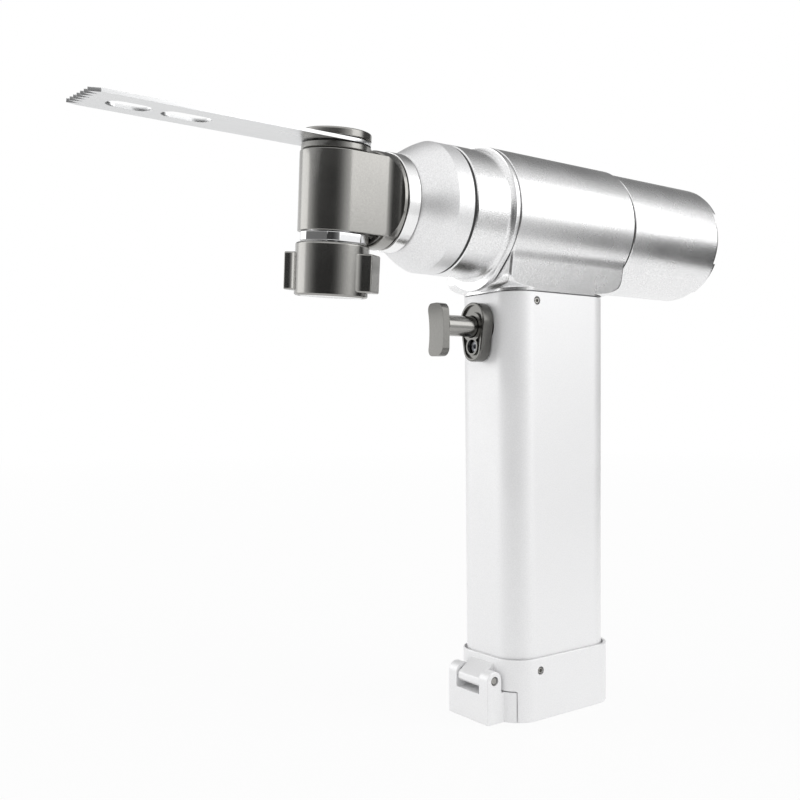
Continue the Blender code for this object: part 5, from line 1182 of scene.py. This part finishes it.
class SAW_OT_base(Operator):
    """Model the base collar with its hinge knuckle, the battery door and the hinge pin"""

    bl_idname = "saw.base"
    bl_label = "Base"

    corner: size("Collar corner", "Radius of the collar's upright corners", 9.6 * mm)
    ear: size("Ear", "Radius of the hinge ears", 3.1 * mm)
    split_z: size("Split", "Height of the seam over the bumper", 10.5 * mm)

    def execute(self, context):
        sizes = context.scene.saw_sizes
        self.front = -24.1 * mm
        self.rear = high("base_collar", "x")
        self.half_y = high("base_collar", "y")
        self.top = high("base_collar", "z")
        self.hinge = across("door_hinge_pin")
        self.split_x = -20.75 * mm
        self.plate_top = 4.0 * mm
        self.pin = half_of("door_hinge_pin", "x")
        self.collar(sizes)
        self.door(sizes)
        self.hinge_pin()
        return {"FINISHED"}

    def ring(self):
        half_x = (self.rear - self.front) / 2
        return rounded_rectangle(half_x, self.half_y, self.corner, (self.rear + self.front) / 2)

    def plate(self, sizes, grow):
        rear = high("handle_shell", "x") - sizes.handle_wall - sizes.fit + grow
        front = self.split_x - 8.0 * mm
        return rounded_rectangle((rear - front) / 2,
                                 high("handle_shell", "y") - sizes.handle_wall - sizes.fit + grow,
                                 sizes.handle_corner - sizes.handle_wall - sizes.fit + grow,
                                 (rear + front) / 2)

    def collar(self, sizes):
        fit = sizes.fit
        half_x = high("handle_shell", "x")
        half_y = high("handle_shell", "y")
        foot = low("handle_shell", "z")
        wall = sizes.handle_wall
        collar = extruded("foot_collar", self.ring(), 0.0, self.top)
        reach = self.half_y + mm
        cut(collar, block("bumper_space", (self.front - mm, -reach, -mm),
                          (self.split_x, reach, self.split_z)))
        bevel(collar, 0.45 * mm, 4, 50.0)
        seat = rounded_rectangle(half_x + fit, half_y + fit, sizes.handle_corner - 1.2 * mm)
        well = rounded_rectangle(half_x - wall, half_y - wall, sizes.handle_corner - wall)
        cut(collar, extruded("seat", seat, foot - fit, self.top + mm),
            extruded("well", well, -mm, foot + mm),
            extruded("plate_seat", self.plate(sizes, fit), -mm, self.plate_top + fit))
        half = 5.7 * mm
        crest_x = self.front + 0.7 * mm
        nose_x = -30.2 * mm
        hinge = (self.hinge[0], self.hinge[2])
        profile = [(crest_x, 19.5 * mm), (nose_x + 0.3 * mm, 15.1 * mm), (nose_x, 14.5 * mm),
                   (nose_x, 13.2 * mm)]
        profile += arc(hinge, self.ear, 210, 270, 14)
        profile += [(crest_x, hinge[1] - self.ear)]
        knuckle = extruded("knuckle", profile, -half, half, "XZ")
        bevel(knuckle, 0.3 * mm, 3, 35.0)
        join(collar, knuckle)
        cut(collar, rod("pin_hole", -half - mm, half + mm, self.pin + fit, "Y", self.hinge))
        screw = across("collar_screw_near")
        head = half_of("collar_screw_near", "z")
        cut(collar, rod("screw_hole", -reach, reach, head + fit, "Y", screw))
        catch = half_of("door_catch", "z")
        cut(collar, rod("catch_hole", half_x - wall - mm, self.rear - 0.8 * mm, catch + fit, "X",
                        (0.0, 0.0, middle("door_catch", "z"))))
        settle(collar, "housing", "satin aluminium", "base_collar")

    def door(self, sizes):
        fit = sizes.fit
        split = self.split_x - fit
        bumper_top = self.split_z - fit
        reach = self.half_y + mm
        door = extruded("base_door", self.ring(), 0.0, bumper_top)
        cut(door, block("collar_space", (split, -reach, -mm), (self.rear + mm, reach, self.top)))
        bevel(door, 0.3 * mm, 3, 50.0)
        plate = extruded("plate", self.plate(sizes, 0.0), 0.0, self.plate_top)
        cut(plate, block("plate_end", (self.front - 20 * mm, -reach, -mm),
                         (split - 0.8 * mm, reach, self.top)))
        join(door, plate)
        hinge = (self.hinge[0], self.hinge[2])
        front = low("battery_door", "x")
        half = 10.4 * mm
        side = [(self.front + 1.5 * mm, 0.0), (self.front + 1.5 * mm, bumper_top),
                (hinge[0] + self.ear, bumper_top)]
        side += arc(hinge, self.ear, 0, 180, 40)
        side += [(front, 0.0)]
        ears = extruded("ears", side, -half, half, "XZ")
        bevel(ears, 0.45 * mm, 4, 50.0)
        join(door, ears)
        window = 5.7 * mm + fit
        cut(door, block("window", (front - mm, -window, 9.8 * mm),
                        (self.front - fit / 2, window, self.top)))
        cut(door, rod("pin_hole", -half - mm, half + mm, self.pin + fit, "Y", self.hinge))
        settle(door, "door", "satin aluminium", "battery_door")

    def hinge_pin(self):
        half = high("door_hinge_pin", "y")
        edge = 0.25 * mm
        profile = [(-half, 0.0), (-half, self.pin - edge), (-half + edge, self.pin),
                   (half - edge, self.pin), (half, self.pin - edge), (half, 0.0)]
        pin = turned("hinge_rod", profile, "Y", 40, self.hinge)
        settle(pin, "housing", "satin gunmetal", "door_hinge_pin")


# Inner pieces

class SAW_OT_inner(Operator):
    """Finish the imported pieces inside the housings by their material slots"""

    bl_idname = "saw.inner"
    bl_label = "Inner pieces"

    def execute(self, context):
        first = {row[0]: name for name, row in reversed(FINISHES.items())}
        for row in frame["record"]["subparts"]:
            materials = frame["nodes"][row["node"]].data.materials
            materials.clear()
            materials.append(finished(first[row["material_slot"]]))
        return {"FINISHED"}


# Studio

class SAW_OT_stage(Operator):
    """Set up the pale floor, soft lights, white surroundings and the camera"""

    bl_idname = "saw.stage"
    bl_label = "Studio"

    def execute(self, context):
        studio = context.scene.saw_studio
        context.scene.view_settings.view_transform = "Standard"
        self.floor(studio)
        self.surroundings(context.scene, studio)
        self.light("key", (0.9, -1.15, 0.75), 1.2, 5.0)
        self.light("fill", (-1.0, 1.1, 0.5), 1.0, 3.0)
        self.camera(context.scene, studio)
        return {"FINISHED"}

    def floor(self, studio):
        """A table under the saw, cut off where the metal would mirror its far parts."""
        deselect()
        bpy.ops.mesh.primitive_grid_add(x_subdivisions=8, y_subdivisions=8, size=6.0,
                                        location=(0.0, 0.0, 0.0))
        floor = bpy.context.object
        floor.name = "floor"
        bpy.ops.object.mode_set(mode="EDIT")
        bpy.ops.mesh.select_all(action="SELECT")
        for edge, way in ((studio.table_edge, Vector((0.594, -0.804, 0.0))),
                          (studio.table_front, Vector((-0.605, -0.796, 0.0)))):
            bpy.ops.mesh.bisect(plane_co=way * edge, plane_no=way, clear_outer=True)
            bpy.ops.mesh.select_all(action="SELECT")
        bpy.ops.object.mode_set(mode="OBJECT")
        made = Finish("pale floor")
        made.shader.inputs["Base Color"].default_value = (*studio.floor_tone, 1.0)
        made.shader.inputs["Roughness"].default_value = 0.6
        glow = made.node("Emission", Strength=1.0)
        path = made.node("LightPath").outputs
        away = made.node("VectorMath", made.place, operation="LENGTH").outputs["Value"]
        share = made.math("MULTIPLY", made.math("MAXIMUM", path["Is Camera Ray"],
                                                path["Is Glossy Ray"]),
                          made.spread(away, 0.1, 2.0, 0.88))
        mix = made.node("MixShader", share, made.shader.outputs[0], glow.outputs[0])
        made.link(mix.outputs[0], made.tree.nodes["Material Output"].inputs["Surface"])
        floor.data.materials.append(made.material)

    def surroundings(self, scene, studio):
        """White behind the saw, and in its metal a bright room with a few dark parts."""
        scene.world = bpy.data.worlds.new("studio")
        scene.world.use_nodes = True
        self.sky = Nodes(scene.world.node_tree)
        self.sky.tree.nodes.clear()
        self.place = self.sky.node("TexCoord").outputs["Generated"]
        height = self.sky.node("SeparateXYZ", self.place).outputs["Z"]
        under = self.tone(height, ((-0.30, 0.08), (-0.16, 0.12), (-0.05, 0.45), (0.08, 0.88),
                                   (0.18, 1.0)))
        behind = self.tone(self.along(45.0), ((0.2, 1.0), (0.34, 0.75), (0.45, 0.48),
                                              (0.52, 0.3), (0.67, 0.18)))
        camera_side = self.tone(self.along(-143.0), ((0.25, 1.0), (0.5, 0.72), (0.67, 0.38),
                                                     (0.8, 0.15), (0.92, 0.04)))
        right_side = self.tone(self.along(-5.0), ((0.78, 1.0), (0.88, 0.1)))
        below = self.fade(under, self.along(20.0), 0.2, 0.53)
        overhead = self.fade(behind, height, 0.2, 0.45)
        low_part = self.fade(camera_side, height, -0.6, -0.45)
        viewer = self.fade(low_part, height, 0.30, 0.16)
        room = self.sky.math("MULTIPLY", self.sky.math("MULTIPLY", below, overhead),
                             self.sky.math("MULTIPLY", viewer, right_side))
        metal_room = self.sky.node("Background", room, Strength=1.0)
        plain_room = self.sky.node("Background", Color=WHITE, Strength=studio.room)
        white = self.sky.node("Background", Color=WHITE, Strength=1.0)
        path = self.sky.node("LightPath").outputs
        shiny = self.sky.math("MAXIMUM", path["Is Glossy Ray"], path["Is Transmission Ray"])
        either = self.sky.node("MixShader", shiny, plain_room.outputs[0], metal_room.outputs[0])
        shown = self.sky.node("MixShader", path["Is Camera Ray"], either.outputs[0],
                              white.outputs[0])
        self.sky.node("OutputWorld", shown.outputs[0])

    def along(self, heading):
        """How far a direction points along a level heading, in degrees from +X."""
        part = self.sky.node("VectorMath", self.place, operation="DOT_PRODUCT")
        turn = math.radians(heading)
        part.inputs[1].default_value = (math.cos(turn), math.sin(turn), 0.0)
        return part.outputs["Value"]

    def tone(self, value, stops):
        """A brightness that follows a direction's part, from (part, brightness) stops."""
        stops = [((part + 1) / 2, (brightness,) * 3) for part, brightness in stops]
        return self.sky.ramp(self.sky.spread(value, -1.0), stops)

    def fade(self, brightness, height, start, end):
        """Leave the brightness at 1 before one height and let it come in up to another."""
        share = self.sky.spread(height, start, end, interpolation_type="SMOOTHSTEP")
        mix = self.sky.node("Mix", share, A=1.0)
        self.sky.link(brightness, mix.inputs["B"])
        return mix.outputs["Result"]

    def light(self, name, place, width, power):
        """A square soft box that faces the saw."""
        bpy.ops.object.light_add(type="AREA", location=place)
        lamp = bpy.context.object
        lamp.name = name
        lamp.data.size = width
        lamp.data.energy = power
        aim = Vector((0.0, 0.0, 0.1)) - Vector(place)
        lamp.rotation_euler = aim.to_track_quat("-Z", "Y").to_euler()

    def camera(self, scene, studio):
        bpy.ops.object.camera_add(location=studio.camera_place)
        camera = bpy.context.object
        camera.name = "camera"
        facing = Matrix.Rotation(math.radians(studio.yaw - 90.0), 3, "Z")
        facing = facing @ Matrix.Rotation(math.radians(90.0 + studio.pitch), 3, "X")
        facing = facing @ Matrix.Rotation(math.radians(studio.roll), 3, "Z")
        camera.rotation_euler = facing.to_euler()
        camera.data.sensor_width = 36.0
        camera.data.lens = studio.lens
        camera.data.shift_x = studio.shift_x
        camera.data.shift_y = studio.shift_y
        camera.data.clip_start = 0.01
        scene.camera = camera


OPERATORS = (SAW_OT_inner, SAW_OT_handle, SAW_OT_saddle, SAW_OT_barrel, SAW_OT_nose,
             SAW_OT_head, SAW_OT_blade, SAW_OT_knob, SAW_OT_trigger, SAW_OT_base, SAW_OT_stage)


class SAW_PT_panel(Panel):
    """The saw's pieces and studio, in the sidebar"""

    bl_label = "Bone Saw"
    bl_idname = "SAW_PT_panel"
    bl_space_type = "VIEW_3D"
    bl_region_type = "UI"
    bl_category = "Bone Saw"

    def draw(self, context):
        for operator in OPERATORS:
            self.layout.operator(operator.bl_idname)
        for group in (context.scene.saw_sizes, context.scene.saw_finishes,
                      context.scene.saw_studio):
            box = self.layout.box()
            for name in group.__annotations__:
                box.prop(group, name)


CLASSES = (SawSizes, SawFinishes, SawStudio) + OPERATORS + (SAW_PT_panel,)


def register():
    for item in CLASSES:
        bpy.utils.register_class(item)
    bpy.types.Scene.saw_sizes = PointerProperty(type=SawSizes)
    bpy.types.Scene.saw_finishes = PointerProperty(type=SawFinishes)
    bpy.types.Scene.saw_studio = PointerProperty(type=SawStudio)


def unregister():
    del bpy.types.Scene.saw_studio
    del bpy.types.Scene.saw_finishes
    del bpy.types.Scene.saw_sizes
    for item in reversed(CLASSES):
        bpy.utils.unregister_class(item)


def main():
    register()
    for operator in OPERATORS:
        group, name = operator.bl_idname.split(".")
        getattr(getattr(bpy.ops, group), name)()
    deselect()


if __name__ == "__main__":
    main()
